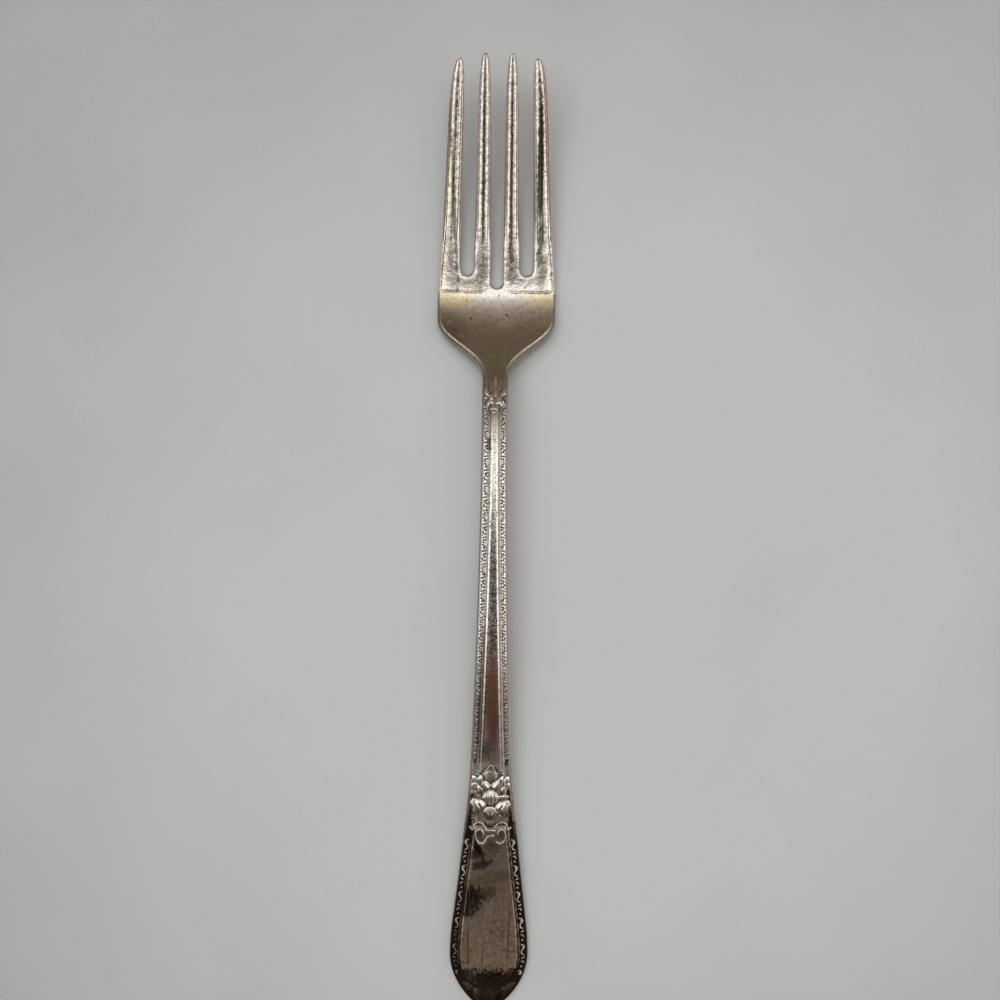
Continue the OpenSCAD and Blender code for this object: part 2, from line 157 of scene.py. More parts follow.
@dataclass(frozen=True)
class ForkForm:
    """Sizes of the whole fork in millimetres, and its height over the table at any place."""

    end_l: float = 51.0
    neck_at: float = 121.0
    bowl_at: float = 125.5
    heel_at: float = 143.0
    step_at: float = 144.5
    rise_at: float = 149.0
    free_at: float = 153.0
    fork_l: float = 190.0
    end_w: float = 15.7
    end_round_l: float = 11.5
    stem_w: float = 5.2
    bowl_w: float = 23.6
    shoulder_l: float = 14.0
    root_w: float = 22.5
    dish: float = 0.5
    belly: float = 0.3
    step_h: float = 0.13
    edge_w: float = 0.5
    end_edge_w: float = 0.65
    edge_h: float = 0.9
    border_w: float = 0.8
    bevel_w: float = 0.6
    chamfer_w: float = 0.36
    chamfer_h: float = 0.075
    panel_h: float = 0.28
    spray_from: float = 36.0
    spray_to: float = 50.6
    scallop_l: float = 6.4
    scallop_w: float = 2.7
    tip_l: float = 0.5

    profile = FlowCurve(
        (0.0, 0.25, 0.0), (7.0, -0.04, 0.0), (100.0, 7.0, 0.0),
        (125.5, 4.1, -math.tan(math.radians(18.0))), (144.2, -0.04, 0.0),
        (149.0, 3.0 * math.tan(math.radians(10.8)), math.tan(math.radians(10.8))),
        (190.0, 11.8, math.tan(math.radians(18.0))),
    )
    thickness = FlowCurve(
        (0.0, 2.0), (51.0, 2.8), (100.0, 3.5), (125.5, 4.0), (143.0, 2.8), (153.0, 2.5),
        (177.0, 1.9), (190.0, 1.52),
    )
    flare = FlowCurve(
        (0.0, 1.0), (0.03, 0.975), (0.061, 0.907), (0.134, 0.72), (0.207, 0.545), (0.279, 0.37),
        (0.339, 0.286), (0.459, 0.187), (0.634, 0.075), (0.753, 0.026), (0.85, 0.0), (1.0, 0.0),
    )

    @property
    def middle(self) -> float:
        """Place that lies at y = 0, with the lean of the tips taken off the length.

        Returns:
            That place, in millimetres from the tip of the handle.
        """
        lean = math.atan(float(self.profile.rate(self.fork_l)))
        spare = float(self.thickness(self.fork_l)) - self.step_h - self.tip_l
        return (self.fork_l - math.sin(lean) * spare / 2) / 2

    def half(self, s: Array) -> Array:
        """Half width at s: an oval tip, a flared handle, eased shoulders and a narrowing web.

        Args:
            s: places along the fork.

        Returns:
            Half width at each of them.
        """
        s = np.asarray(s, float)
        oval = np.maximum(0.0, 1 - (1 - s / self.end_round_l) ** 2) ** 0.72
        flare = self.flare(bound((s - self.end_round_l) / (self.bowl_at - self.end_round_l)))
        shoulder = ease((s - self.bowl_at) / self.shoulder_l)
        taper = ramp(s, self.heel_at, self.free_at) ** 1.6
        return np.select(
            [s < self.end_round_l, s < self.bowl_at, s < self.heel_at],
            [
                self.end_w / 2 * np.maximum(0.04, oval),
                (self.stem_w + (self.end_w - self.stem_w) * flare) / 2,
                (self.stem_w + (self.bowl_w - self.stem_w) * shoulder) / 2,
            ],
            (self.bowl_w + (self.root_w - self.bowl_w) * taper) / 2,
        )

    def edge(self, s: Array) -> Array:
        """Width of the front's rounded edge at s."""
        wide = self.end_edge_w + (self.edge_w - self.end_edge_w) * ramp(s, self.end_round_l, self.end_l)
        return np.minimum(wide, self.half(s) / 4)

    def low_edge(self, s: Array) -> Array:
        """Width of the back's rounded edge at s."""
        return np.minimum(2.4 * self.edge(s), 0.6 * self.half(s))

    def panel(self, s: Array) -> Array:
        """Half width of the raised panel at s."""
        w = self.half(s)
        return np.maximum(w / 5, w - self.edge(s) - self.border_w - self.bevel_w)

    def chamfer(self, s: Array) -> Array:
        """Width of the sloping rim of the panel's top."""
        return np.minimum(self.chamfer_w, 0.5 * self.panel(s))

    def bevel(self, s: Array) -> Array:
        """Width of the panel's bevel at s."""
        return np.minimum(self.bevel_w, 0.45 * (self.half(s) - self.edge(s) - self.panel(s)))

    def live(self, s: Array) -> Array:
        """Share of the panel's height that is left at s: it runs out on the neck."""
        return 1 - ramp(s, self.neck_at, self.bowl_at)

    def ground(self, s: Array, x: Array) -> Array:
        """1 on the sunk ground under the flower spray and at the tip, 0 on the panel.

        Args:
            s: places along the fork.
            x: places across it.

        Returns:
            Share of the panel's height that is cut away at each point.
        """
        wave = np.abs(np.sin(np.pi * (x - 0.2) / self.scallop_w)) ** 0.7
        scallop = self.scallop_l + 0.9 * wave + 0.06 * x * x
        upper = self.spray_to - 0.75 * np.abs(x)
        spray = np.minimum(soft((s - self.spray_from) / 5.0), soft((upper - s) / 0.9))
        return np.maximum(0.55 * spray, 1 - soft((s - scallop) / 0.4 + 0.5))

    def hollow(self, s: Array) -> Array:
        """How far the bowl is dished at s, from 0 at the neck to 1, and back to 0 at the tines."""
        rise = ease((s - self.bowl_at) / self.shoulder_l)
        return rise * (1 - soft(ramp(s, self.step_at - 1.5, self.free_at)))

    def place(self, s: Array, x: Array, h: Array) -> Array:
        """Points in metres.

        Args:
            s: place along the fork.
            x: distance from its middle.
            h: height over the underside, square to the side profile.

        Returns:
            Array with a last axis of x, y and z; nothing lies under the table top.
        """
        lean = np.arctan(self.profile.rate(s))
        y = s - h * np.sin(lean) - self.middle
        z = np.maximum(self.profile(s) + h * np.cos(lean), 0.0)
        return np.stack(np.broadcast_arrays(x, y, z), axis=-1) * MM

    def inset(self, s: Array, x: Array) -> Array:
        """Distance in from the outline: the gap to the edge times the cosine of its slant.

        Args:
            s: places along the fork.
            x: places across it.

        Returns:
            Distance of each point.
        """
        step = 0.02
        slant = (self.half(s + step) - self.half(s - step)) / (2 * step)
        return (self.half(s) - np.abs(x)) / np.sqrt(1 + slant**2)

    def front(self, s: Array, x: Array) -> Array:
        """Height of the front over the underside.

        The thickness, less the dish, less the panel's sloping rim and its drop to the
        border, less two fine grooves and a rounded edge, with a narrow lip round the bowl.

        Args:
            s: places along the fork.
            x: places across it.

        Returns:
            Height of each point.
        """
        bevel, live, thick, inset = self.bevel(s), self.live(s), self.thickness(s), self.inset(s, x)
        past = np.abs(x) - self.panel(s)
        side = soft((past - 0.3 * bevel) / (0.7 * bevel))
        foot = 0.07 * bell(past - bevel - 0.08, 0.07)
        line = 0.035 * bell(past - 0.16 * bevel, 0.05)
        crown = self.chamfer_h * bound(past / self.chamfer(s) + 1) ** 2
        sunk = self.panel_h * live * np.maximum(self.ground(s, x), side)
        lip = soft((s - 126.5) / 2.0) * soft((143.0 - s) / 4.0)
        lip_drop = 0.1 * lip * bound((0.66 - inset) / 0.22)
        edge = np.minimum(self.edge_h, 0.4 * thick) * round_drop(1 - inset / (self.edge(s) - 0.06 * lip))
        dish = self.dish * self.hollow(s) * (1 - (x / self.half(s)) ** 2)
        return thick - dish - sunk - (foot + line + crown) * live - edge - lip_drop

    def back(self, s: Array, x: Array) -> Array:
        """Height of the back over the underside: the bowl's belly and a rounded edge.

        Args:
            s: places along the fork.
            x: places across it.

        Returns:
            Height of each point.
        """
        belly = self.belly * self.hollow(s) * (x / self.half(s)) ** 2
        fade = 1 - 0.7 * ramp(s, self.rise_at, self.free_at)
        edge = round_drop(1 - self.inset(s, x) / self.low_edge(s))
        return belly + np.minimum(self.edge_h, 0.4 * self.thickness(s)) * fade * edge


FORM = ForkForm()


def loop(s: Array, x: Array, top: Array, low: Array) -> Array:
    """Points round sections: over the front from left to right, and back under it."""
    return np.concatenate([FORM.place(s, x, top), FORM.place(s, x[:, ::-1], low[:, ::-1])], axis=1)


def tube(surface: Callable[[Array], Array], s: Array, step: float = 0.004) -> tuple[Array, Array]:
    """Points of a closed surface and its outward normals.

    A normal is the step round the section, crossed with the step along the fork.

    Args:
        surface: gives the points round the sections at any places.
        s: places of the sections.
        step: half of the step along the fork.

    Returns:
        Points and normals, rows along the fork and columns round it.
    """
    points = surface(s)
    around = np.roll(points, -1, axis=1) - np.roll(points, 1, axis=1)
    return points, unit(np.cross(around, surface(s + step) - surface(s - step)))


def sheet_normals(height: Callable[[Array, Array], Array], s: Array, x: Array, step: float) -> Array:
    """Upward normals of a sheet: the step across it, crossed with the step along it.

    Args:
        height: gives the sheet's height at any places.
        s: places along the fork.
        x: places across it.
        step: half of each step.

    Returns:
        Normals of length 1.
    """
    def point(ds: float, dx: float) -> Array:
        """The sheet's points, shifted along and across."""
        return FORM.place(s + ds, x + dx, height(s + ds, x + dx))
    return unit(np.cross(point(0, step) - point(0, -step), point(step, 0) - point(-step, 0)))


def with_back(grime: Array, crest: Array, back: Array) -> dict[str, Array]:
    """Marks of the front, joined to those of the back: a trace of dirt, no rubbed metal and no painted highlight.

    Args:
        grime: dirt and painted shade on the front.
        crest: rubbed metal and painted highlight on the front.
        back: an array with a value for each point of the back.

    Returns:
        Both marks by their names.
    """
    return {
        "grime": np.concatenate([grime, np.full_like(back, BACK_GRIME)], axis=1),
        "crest": np.concatenate([crest, np.zeros_like(back)], axis=1),
    }


class Piece:
    """A mesh that is being put together from grids of points, with normals and marks of dirt, rubbing, painted
    shade and painted highlight.
    """

    def __init__(self, name: str) -> None:
        """Starts an empty piece with a name.

        Args:
            name: the piece's name.
        """
        self.name = name
        self.points: list[Array] = []
        self.normals: list[Array] = []
        self.marks: dict[str, list[Array]] = {"grime": [], "crest": [], "wall": []}
        self.faces: list[Array] = []
        self.caps: list[Array] = []
        self.count = 0

    def add_points(self, points: Array, normals: Array, **marks: Array) -> int:
        """Adds points with their normals and marks, and returns the number of the first.

        Args:
            points: the points, in any grid.
            normals: the points' normals.
            marks: dirt and painted shade, rubbed metal and painted highlight, and the side walls' darkening of
                each point, 0 where left out.

        Returns:
            Number of the first of them.
        """
        first = self.count
        self.points.append(points.reshape(-1, 3))
        self.normals.append(normals.reshape(-1, 3))
        for name, rows in self.marks.items():
            rows.append(np.broadcast_to(marks.get(name, 0.0), points.shape[:-1]).reshape(-1))
        self.count += points[..., 0].size
        return first

    def add_tube(self, points: Array, normals: Array, kept: Array | None = None, **marks: Array) -> None:
        """Adds a closed grid with a cap at both ends.

        Args:
            points: rows along the fork and columns round it.
            normals: the points' normals.
            kept: which quads are made, all of them if None.
            marks: dirt and painted shade, rubbed metal and painted highlight, and the side walls' darkening of
                each point.
        """
        rows, columns = points.shape[:2]
        first = self.add_points(points, normals, **marks)
        i, j = np.meshgrid(np.arange(rows - 1), np.arange(columns), indexing="ij")
        k = (j + 1) % columns
        a = first + i * columns
        quads = np.stack([a + j, a + k, a + columns + k, a + columns + j], axis=-1)
        self.faces.append(quads[kept if kept is not None else np.ones(i.shape, bool)])
        ring = first + np.arange(columns)
        self.caps += [ring[::-1], ring + (rows - 1) * columns]

    def finish(self, finish: "SilverFinish", nodes: list[str], slot: str) -> None:
        """Makes the Blender object, dresses it and seats it in the frame.

        Points at the same place are joined; each corner of a face keeps its own normal.

        Args:
            finish: the metal's finish.
            nodes: the solids that this piece stands for.
            slot: the record's material slot; not used.
        """
        points = np.concatenate(self.points)
        quads = np.concatenate(self.faces)
        sizes = [4] * len(quads) + [len(cap) for cap in self.caps]
        corners = np.concatenate([quads.reshape(-1)] + self.caps)
        starts = np.concatenate([[0], np.cumsum(sizes)[:-1]]).astype(np.int32)
        normals = np.concatenate(self.normals)[corners]
        for cap, start in zip(self.caps, starts[len(quads):]):
            spokes = points[cap] - points[cap].mean(0)
            normals[start:start + len(cap)] = unit(np.cross(spokes, np.roll(spokes, -1, 0)).sum(0))
        keys = np.round(points / JOIN)
        _, kept, number = np.unique(keys, axis=0, return_index=True, return_inverse=True)
        mesh = bpy.data.meshes.new(self.name)
        mesh.vertices.add(len(kept))
        mesh.vertices.foreach_set("co", points[kept].astype(np.float32).reshape(-1))
        mesh.loops.add(len(corners))
        mesh.loops.foreach_set("vertex_index", number.reshape(-1)[corners].astype(np.int32))
        mesh.polygons.add(len(sizes))
        mesh.polygons.foreach_set("loop_start", starts)
        mesh.update(calc_edges=True)
        mesh.polygons.foreach_set("use_smooth", np.ones(len(sizes), bool))
        for name, values in self.marks.items():
            layer = mesh.attributes.new(name, "FLOAT", "POINT")
            layer.data.foreach_set("value", np.concatenate(values)[kept].astype(np.float32))
        mesh.normals_split_custom_set(normals.astype(np.float32))
        mesh.validate()
        made = bpy.data.objects.new(f"{self.name}_dressed", mesh)
        bpy.context.collection.objects.link(made)
        mesh.materials.append(finish.material())
        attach(made, "root")
        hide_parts(*nodes)
        log.info("%s: %d points, %d faces, stands for %s", self.name, len(kept), len(sizes), ", ".join(nodes))


@dataclass
class Plate:
    """A stretch of the fork between two places, as one closed surface.

    Each section runs over the front from left to right and back under it. Its places
    across crowd where the panel's bevel, the border and the rounded edge are.
    """

    name: str
    start: float
    end: float
    pitch: float = 0.25
    panel_n: int = 8
    # Darkening of the side walls, left and right: tarnish and painted shade.
    wall_shade_and_tarnish: tuple[float, float] = (0.62, 0.32)
    band_dirt: float = 0.64
    bevel_n: int = 9
    border_n: int = 10
    edge_n: int = 9

    def stations(self) -> Array:
        """Places of the sections, evenly spaced."""
        return np.linspace(self.start, self.end, int(round((self.end - self.start) / self.pitch)) + 1)

    def across(self, s: Array) -> tuple[Array, Array]:
        """Places across each section: the front's from left to right, the back's from right to left.

        Args:
            s: places along the fork.

        Returns:
            Places across the front and across the back.
        """
        w, edge, low_edge, panel, bevel, rim = (
            f(s)[:, None]
            for f in (FORM.half, FORM.edge, FORM.low_edge, FORM.panel, FORM.bevel, FORM.chamfer)
        )
        flat = np.linspace(0, 1, self.panel_n + 1)[None, :]
        slope = np.linspace(0, 1, self.bevel_n + 1)[None, 1:]
        band = np.linspace(0, 1, self.border_n + 1)[None, 1:]
        turn = np.sin(np.linspace(0, QUARTER, self.edge_n + 1))[None, 1:]
        upper = np.concatenate([
            (panel - rim) * flat, panel - rim + rim * slope, panel + bevel * slope,
            panel + bevel + (w - edge - panel - bevel) * band, w - edge + edge * turn,
        ], axis=1)
        under = np.concatenate([(w - low_edge) * flat, w - low_edge + low_edge * turn], axis=1)
        front = np.concatenate([-upper[:, :0:-1], upper], axis=1)
        return front, np.concatenate([under[:, ::-1], -under[:, 1:]], axis=1)

    def surface(self, s: Array) -> Array:
        """Points of the sections at s, rows along the fork and columns round it.

        Args:
            s: places along the fork.

        Returns:
            Array of points in metres.
        """
        front, back = self.across(s)
        s = s[:, None]
        sides = FORM.place(s, front, FORM.front(s, front)), FORM.place(s, back, FORM.back(s, back))
        return np.concatenate(sides, axis=1)

    def grime(self, s: Array, x: Array) -> Array:
        """Dirt on the front: in the panel's two grooves, on the border and on the sunk ground.

        Args:
            s: places along the fork.
            x: places across it.

        Returns:
            Share of dirt at each point.
        """
        past = np.abs(x) - FORM.panel(s) - FORM.bevel(s) - 0.06
        ground = FORM.ground(s, x)
        foot = 0.5 * bell(past, 0.1) * (1 - ground)
        band = self.band_dirt * soft(past / 0.1) * soft((FORM.inset(s, x) - FORM.edge(s) * 0.8) / 0.2)
        line = 0.8 * bell(np.abs(x) - FORM.panel(s) - 0.2 * FORM.bevel(s), 0.09)
        return bound((foot + band + line + 0.75 * ground) * FORM.live(s))

    def crest(self, s: Array, x: Array) -> Array:
        """Rubbed metal and painted highlight: the sloping rim of the panel, and the outermost edge, less of it on
        the left.

        Args:
            s: places along the fork.
            x: places across it.

        Returns:
            Share of rubbed metal and painted highlight at each point.
        """
        past = np.abs(x) - FORM.panel(s)
        rim = soft((past + FORM.chamfer(s)) / 0.08) * soft((0.02 - past) / 0.06) * FORM.live(s)
        edge = soft(1 - np.abs(FORM.inset(s, x)) / 0.25) * np.where(x < 0, 0.1, 0.45)
        return np.maximum(rim * (1 - FORM.ground(s, x)), edge)

    def build(self, finish: "SilverFinish", slot_name: str) -> None:
        """Makes the plate, with tarnish and painted shade on its side walls, the left and the right by their own
        amounts.

        Args:
            finish: the metal's finish.
            slot_name: the record's material slot.
        """
        piece = Piece(self.name)
        s = self.stations()
        front, back = self.across(s)
        col = s[:, None]
        around = np.concatenate([front, back], axis=1)
        # Tarnish and painted shade on the side walls, fading in from the outline; it also adds to the dark mark
        # below.
        wall = np.where(around < 0, *self.wall_shade_and_tarnish) * soft(1.15 - FORM.inset(col, around) / 0.45)
        marks = with_back(self.grime(col, front), self.crest(col, front), back)
        marks["grime"] = np.maximum(marks["grime"], 0.4 * wall)
        piece.add_tube(*tube(self.surface, s, 0.01), wall=wall, **marks)
        piece.finish(finish, [self.name], slot_name)


@dataclass
class HandleEnd(Plate):
    """The flared end of the handle, with its sections crowded at the round tip."""

    crowded_l: float = 3.0

    def stations(self) -> Array:
        """Places that crowd towards the tip at first, then run evenly.

        Returns:
            Places along the fork.
        """
        tip = self.crowded_l * (1 - np.cos(np.linspace(0, QUARTER, 26)[:-1]))
        count = int(round((self.end - self.crowded_l) / self.pitch)) + 1
        return np.concatenate([tip, np.linspace(self.crowded_l, self.end, count)])

    def grime(self, s: Array, x: Array) -> Array:
        """The plate's dirt, with painted shade added beside the panel towards the tip.

        It is less on the left edge, on the ground at the tip and under the flower spray.

        Args:
            s: places along the fork.
            x: places across it.

        Returns:
            Share of dirt and painted shade at each point.
        """
        past = np.abs(x) - FORM.panel(s)
        # Painted shade beside the panel, strongest towards the tip.
        beside = 0.62 * soft((past - 0.7 * FORM.bevel(s)) / 0.3) + 0.46 * soft((past + 0.4) / 0.2)
        left = 0.75 * soft((s - 14.0) / 8.0) * soft(1.3 - FORM.inset(s, x) / 0.3) * (x < 0)
        tip = 0.14 * FORM.ground(s, x) * soft((10.0 - s) / 2.0)
        spray = (0.34 * soft((s - 37.5) / 3.0) + 0.2 * soft((s - 44.0) / 2.0)) * soft((51.0 - s) / 2.5)
        low = 1 - soft((s - 30.0) / 14.0)
        return bound(super().grime(s, x) + beside * low - left - tip - spray)


@dataclass
class Bowl(Plate):
    """The bowl, from the neck's shoulders to the crease under the tines."""

    def grime(self, s: Array, x: Array) -> Array:
        """Painted shadow in the crease at the bowl's end, and darkening on the rounded edge of its wide part."""
        side = 0.5 * soft(1.2 - FORM.inset(s, x) / 0.4) * soft((s - 134.0) / 4.0)
        # Painted shadow along the crease, and darkening along the rounded edge.
        return np.maximum(0.35 * bell(s - FORM.step_at, 0.25) * soft((np.abs(x) - 2.4) / 1.5), side)

    def crest(self, s: Array, x: Array) -> Array:
        """Painted highlight in the rubbed metal's colour: the lip inside the shoulders' edge.

        Args:
            s: places along the fork.
            x: places across it.

        Returns:
            Share of painted highlight at each point.
        """
        inset = FORM.inset(s, x)
        lip = soft((0.74 - inset) / 0.12) * soft((inset - 0.36) / 0.1)
        return lip * soft((s - 126.0) / 2.0) * soft((141.0 - s) / 3.0)


class Slot(Enum):
    """The three slots: middle across, half width and place of the round end."""

    LEFT = (-5.97, 1.35, 148.5)
    MIDDLE = (0.0, 1.2, 145.9)
    RIGHT = (5.97, 1.35, 148.5)

    def __init__(self, middle: float, radius: float, end: float) -> None:
        """Names the slot's three sizes."""
        self.middle, self.radius, self.end = middle, radius, end

    def gap(self, s: Array, x: Array) -> Array:
        """Distance from the slot's edge: to a circle at its round end, to straight sides past it."""
        before, aside = s - self.end - self.radius, np.abs(x - self.middle)
        return np.where(before < 0, np.hypot(before, aside), aside) - self.radius

    def edges(self, s: Array) -> tuple[Array, Array]:
        """Left and right edge at s: both in the middle before the slot, then a circle's, then straight.

        Args:
            s: places along the fork.

        Returns:
            Places across of both edges.
        """
        reach = np.clip(self.end + self.radius - s, 0.0, self.radius)
        half = np.sqrt(np.maximum(self.radius**2 - reach**2, 0.0))
        return self.middle - half, self.middle + half


def slot_gap(s: Array, x: Array) -> Array:
    """Distance from the nearest slot's edge."""
    return np.minimum.reduce([slot.gap(s, x) for slot in Slot])


@dataclass
class TineRoot:
    """The web between the bowl and the free tines, slotted into four bars."""

    name: str = "tine_root"
    rim_w: float = 0.55
    rim_h: float = 0.42
    slope_w: float = 1.0
    shoulder_w: float = 1.15
    shoulder_h: float = 0.14
    rail_w: float = 0.62
    corner: float = 1.1
    columns: int = 30

    def rounding(self, gap: Array) -> Array:
        """Drop beside a slot: a square-law shoulder, and a quarter round at the edge."""
        shoulder = self.shoulder_h * bound(1 - gap / self.shoulder_w) ** 2
        return shoulder + self.rim_h * round_drop(1 - gap / self.rim_w)

    def broken(self, gap: Array) -> Array:
        """Rise of the back beside a slot, where its edge is broken a little."""
        return 0.3 * round_drop(1 - gap / 0.35)

    def recess(self, s: Array, x: Array) -> Array:
        """Distance into the sunk field: a box with round corners, past the crease, inside the rails.

        Args:
            s: places along the fork.
            x: places across it.

        Returns:
            Distance of each point, below 0 outside the field.
        """
        along = np.maximum(self.corner - (s - FORM.step_at - 0.1), 0.0)
        aside = np.maximum(self.corner - (FORM.half(s) - self.rail_w - np.abs(x)), 0.0)
        return self.corner - np.hypot(along, aside)

    def front(self, s: Array, x: Array) -> Array:
        """Height of the web's front: the plate's, rounded at the slots.

        Past the crease it is sunk, except in the middle.

        Args:
            s: places along the fork.
            x: places across it.

        Returns:
            Height of each point.
        """
        aside = np.maximum(soft((np.abs(x) - 1.4) / 1.6), soft((s - 146.0) / 1.5))
        sunk = FORM.step_h * soft(self.recess(s, x) / self.slope_w) * aside
        return FORM.front(s, x) - sunk - self.rounding(slot_gap(s, x))

    def back(self, s: Array, x: Array) -> Array:
        """Height of the web's back, with the slots' edges broken."""
        return FORM.back(s, x) + self.broken(slot_gap(s, x))

    def across(self, s: Array, number: int) -> Array:
        """Places across one of the four bars, from left to right, crowded at its sides.

        Args:
            s: places along the fork.
            number: number of the bar, from 0 on the left to 3.

        Returns:
            Places across, a row for each section.
        """
        sides = [-FORM.half(s), *(edge for slot in Slot for edge in slot.edges(s)), FORM.half(s)]
        left, right = (side[:, None] for side in sides[2 * number:2 * number + 2])
        return (left + right) / 2 + (right - left) / 2 * crowded(self.columns)

    def surface(self, s: Array, number: int) -> Array:
        """Points round a bar's sections at s."""
        x, s = self.across(s, number), s[:, None]
        return loop(s, x, self.front(s, x), self.back(s, x))

    def stations(self) -> Array:
        """Places of the sections, crowded at the crease and where the slots begin.

        Returns:
            Places along the fork.
        """
        rows = [np.arange(FORM.step_at, FORM.free_at, 0.18), FORM.step_at + np.linspace(0, 1.2, 13)]
        for slot in (Slot.LEFT, Slot.MIDDLE):
            rows.append(slot.end + slot.radius * (1 - np.cos(np.linspace(0, QUARTER, 15))))
            rows.append(slot.end - np.linspace(0, 0.6, 7)[1:])
        return np.unique(np.round(np.concatenate([*rows, [FORM.free_at]]), 4))

    def wear_and_light(self, s: Array, x: Array) -> dict[str, Array]:
        """Painted shadow at the foot of the crease, dirt in a line along the slots, and rubbed rims of the slots
        with painted highlight.

        Args:
            s: places along the fork.
            x: places across it.

        Returns:
            Marks by their names.
        """
        near = slot_gap(s, x)
        outside = np.maximum(soft((np.abs(x) - 2.0) / 1.2), soft((s - 146.0) / 2.0))
        # Painted shadow along the foot of the crease.
        crease = 0.66 * bell(self.recess(s, x) + 0.06, 0.2) * outside
        line = 0.62 * bell(near - 0.66, 0.12) * soft((s - 149.0) / 3.0)
        # The slots' rims take rubbed metal and painted highlight.
        return with_back(np.maximum(crease, line), soft(1 - near / 0.5), x)

    def build(self, finish: "SilverFinish", slot_name: str) -> None:
        """Makes each bar as a tube.

        Before a slot opens, the bars beside it have no walls there, and the points that
        they share take the front's and the back's own normals.

        Args:
            finish: the metal's finish.
            slot_name: the record's material slot.
        """
        piece = Piece(self.name)
        s = self.stations()
        col = s[:, None]
        slots = list(Slot)
        last = 2 * self.columns + 1
        for number in range(4):
            x = self.across(s, number)
            points, normals = tube(lambda places: self.surface(places, number), s)
            kept = np.ones((len(s) - 1, last + 1), bool)
            for side, column in enumerate((0, self.columns)):
                if number + side in (0, 4):
                    continue
                shut = s < slots[number - 1 + side].end - 1e-6
                kept[:, column if column else last] = ~shut[:-1]
                for height, place, sign in ((self.front, column, 1), (self.back, last - column, -1)):
                    flat = sign * sheet_normals(height, col, x[:, [column]], 0.004)[:, 0]
                    normals[shut, place] = flat[shut]
            piece.add_tube(points, normals, kept, **self.wear_and_light(col, x))
        piece.finish(finish, [self.name], slot_name)


WEB = TineRoot()


@dataclass
class Tine:
    """One free tine: a crowned bar that narrows to a rounded point."""

    name: str
    start_left: float
    start_right: float
    tip_x: float
    tip_at: float
    bend: float = 0.0
    point_l: float = 13.0
    crowded_l: float = 4.0
    columns: int = 30

    def point(self, s: Array) -> Array:
        """Share of the full width left at s: a superellipse over the pointed length."""
        return np.maximum(0.0, 1 - ramp(s, self.tip_at - self.point_l, self.tip_at) ** 2.5) ** (1 / 3)

    def across(self, s: Array) -> tuple[Array, Array, Array]:
        """Places across the sections at s, from left to right.

        A straight taper times the point gives the width, and the tip bends inwards.

        Args:
            s: places along the fork.

        Returns:
            Places across, distances in from the sides, and shares of the half width.
        """
        s = s[:, None]
        go = (s - FORM.free_at) / (self.tip_at - FORM.free_at)
        half = (self.start_right - self.start_left) / 2 * (1 - 0.24 * go) * self.point(s)
        half = np.maximum(0.03, half)
        middle = (self.start_left + self.start_right) / 2 * (1 - go) + self.tip_x * go
        share = crowded(self.columns) + 0 * s
        x = middle - self.bend * (1 - self.point(s)) + half * share
        return x, half * (1 - np.abs(share)), np.abs(share)

    def outer(self, x: Array) -> Array:
        """Distance in from the web's rail."""
        return FORM.half(FORM.free_at) - WEB.rail_w - np.abs(x)

    def surface(self, s: Array) -> Array:
        """Points round the sections at s.

        The section starts as the web's flat bar with rounded rims and turns into a
        crowned one: level over the middle, then a quarter of a superellipse.

        Args:
            s: places along the fork.

        Returns:
            Array of points in metres.
        """
        x, gap, share = self.across(s)
        s = s[:, None]
        full = FORM.thickness(s) - FORM.step_h
        tall = np.maximum(0.12, full * self.point(s) ** 0.75)
        low = (full - tall) / 2
        start = 1 - soft(ramp(s, FORM.free_at, FORM.free_at + 9.0))
        crown = round_drop(bound((share - 0.25) / 0.75), 1.7)
        belly = round_drop(bound((share - 0.45) / 0.55))
        flat = full - WEB.rounding(gap) + FORM.step_h * (1 - soft(self.outer(x) / WEB.slope_w))
        top = start * flat + (1 - start) * (low + tall * (1 - 0.52 * crown))
        under = start * WEB.broken(gap) + (1 - start) * (low + tall * 0.42 * belly)
        return loop(s, x, top, under)

    def wear_and_light(self, s: Array) -> dict[str, Array]:
        """Dirt along the middle, in two lines and at the web's rail; rubbed sides.

        Args:
            s: places along the fork.

        Returns:
            Marks by their names.
        """
        x, _, share = self.across(s)
        s = s[:, None]
        rim = 0.66 * bell(self.outer(x) - 0.06, 0.2) * (1 - soft((s - FORM.free_at) / 7.0))
        lines = 0.95 * (0.85 * bell(share - 0.58, 0.05) + bell(share - 0.85, 0.05))
        middle = 0.56 * (1 - soft((share - 0.08 - 0.1 * ramp(s, 162.0, 185.0)) / 0.12))
        grime = (lines + middle) * soft((s - FORM.free_at) / 3.0) + rim
        return with_back(grime, soft((share - 0.8) / 0.15), x)

    def build(self, finish: "SilverFinish", slot_name: str) -> None:
        """Makes the tine: one tube, with its sections crowded at the tip.

        Args:
            finish: the metal's finish.
            slot_name: the record's material slot.
        """
        piece = Piece(self.name)
        even = np.arange(FORM.free_at, self.tip_at - self.crowded_l, 0.3)
        end = self.tip_at - self.crowded_l * (1 - np.sin(np.linspace(0, QUARTER, 36)))
        s = np.unique(np.round(np.concatenate([even, end]), 5))
        piece.add_tube(*tube(self.surface, s), **self.wear_and_light(s))
        piece.finish(finish, [self.name], slot_name)


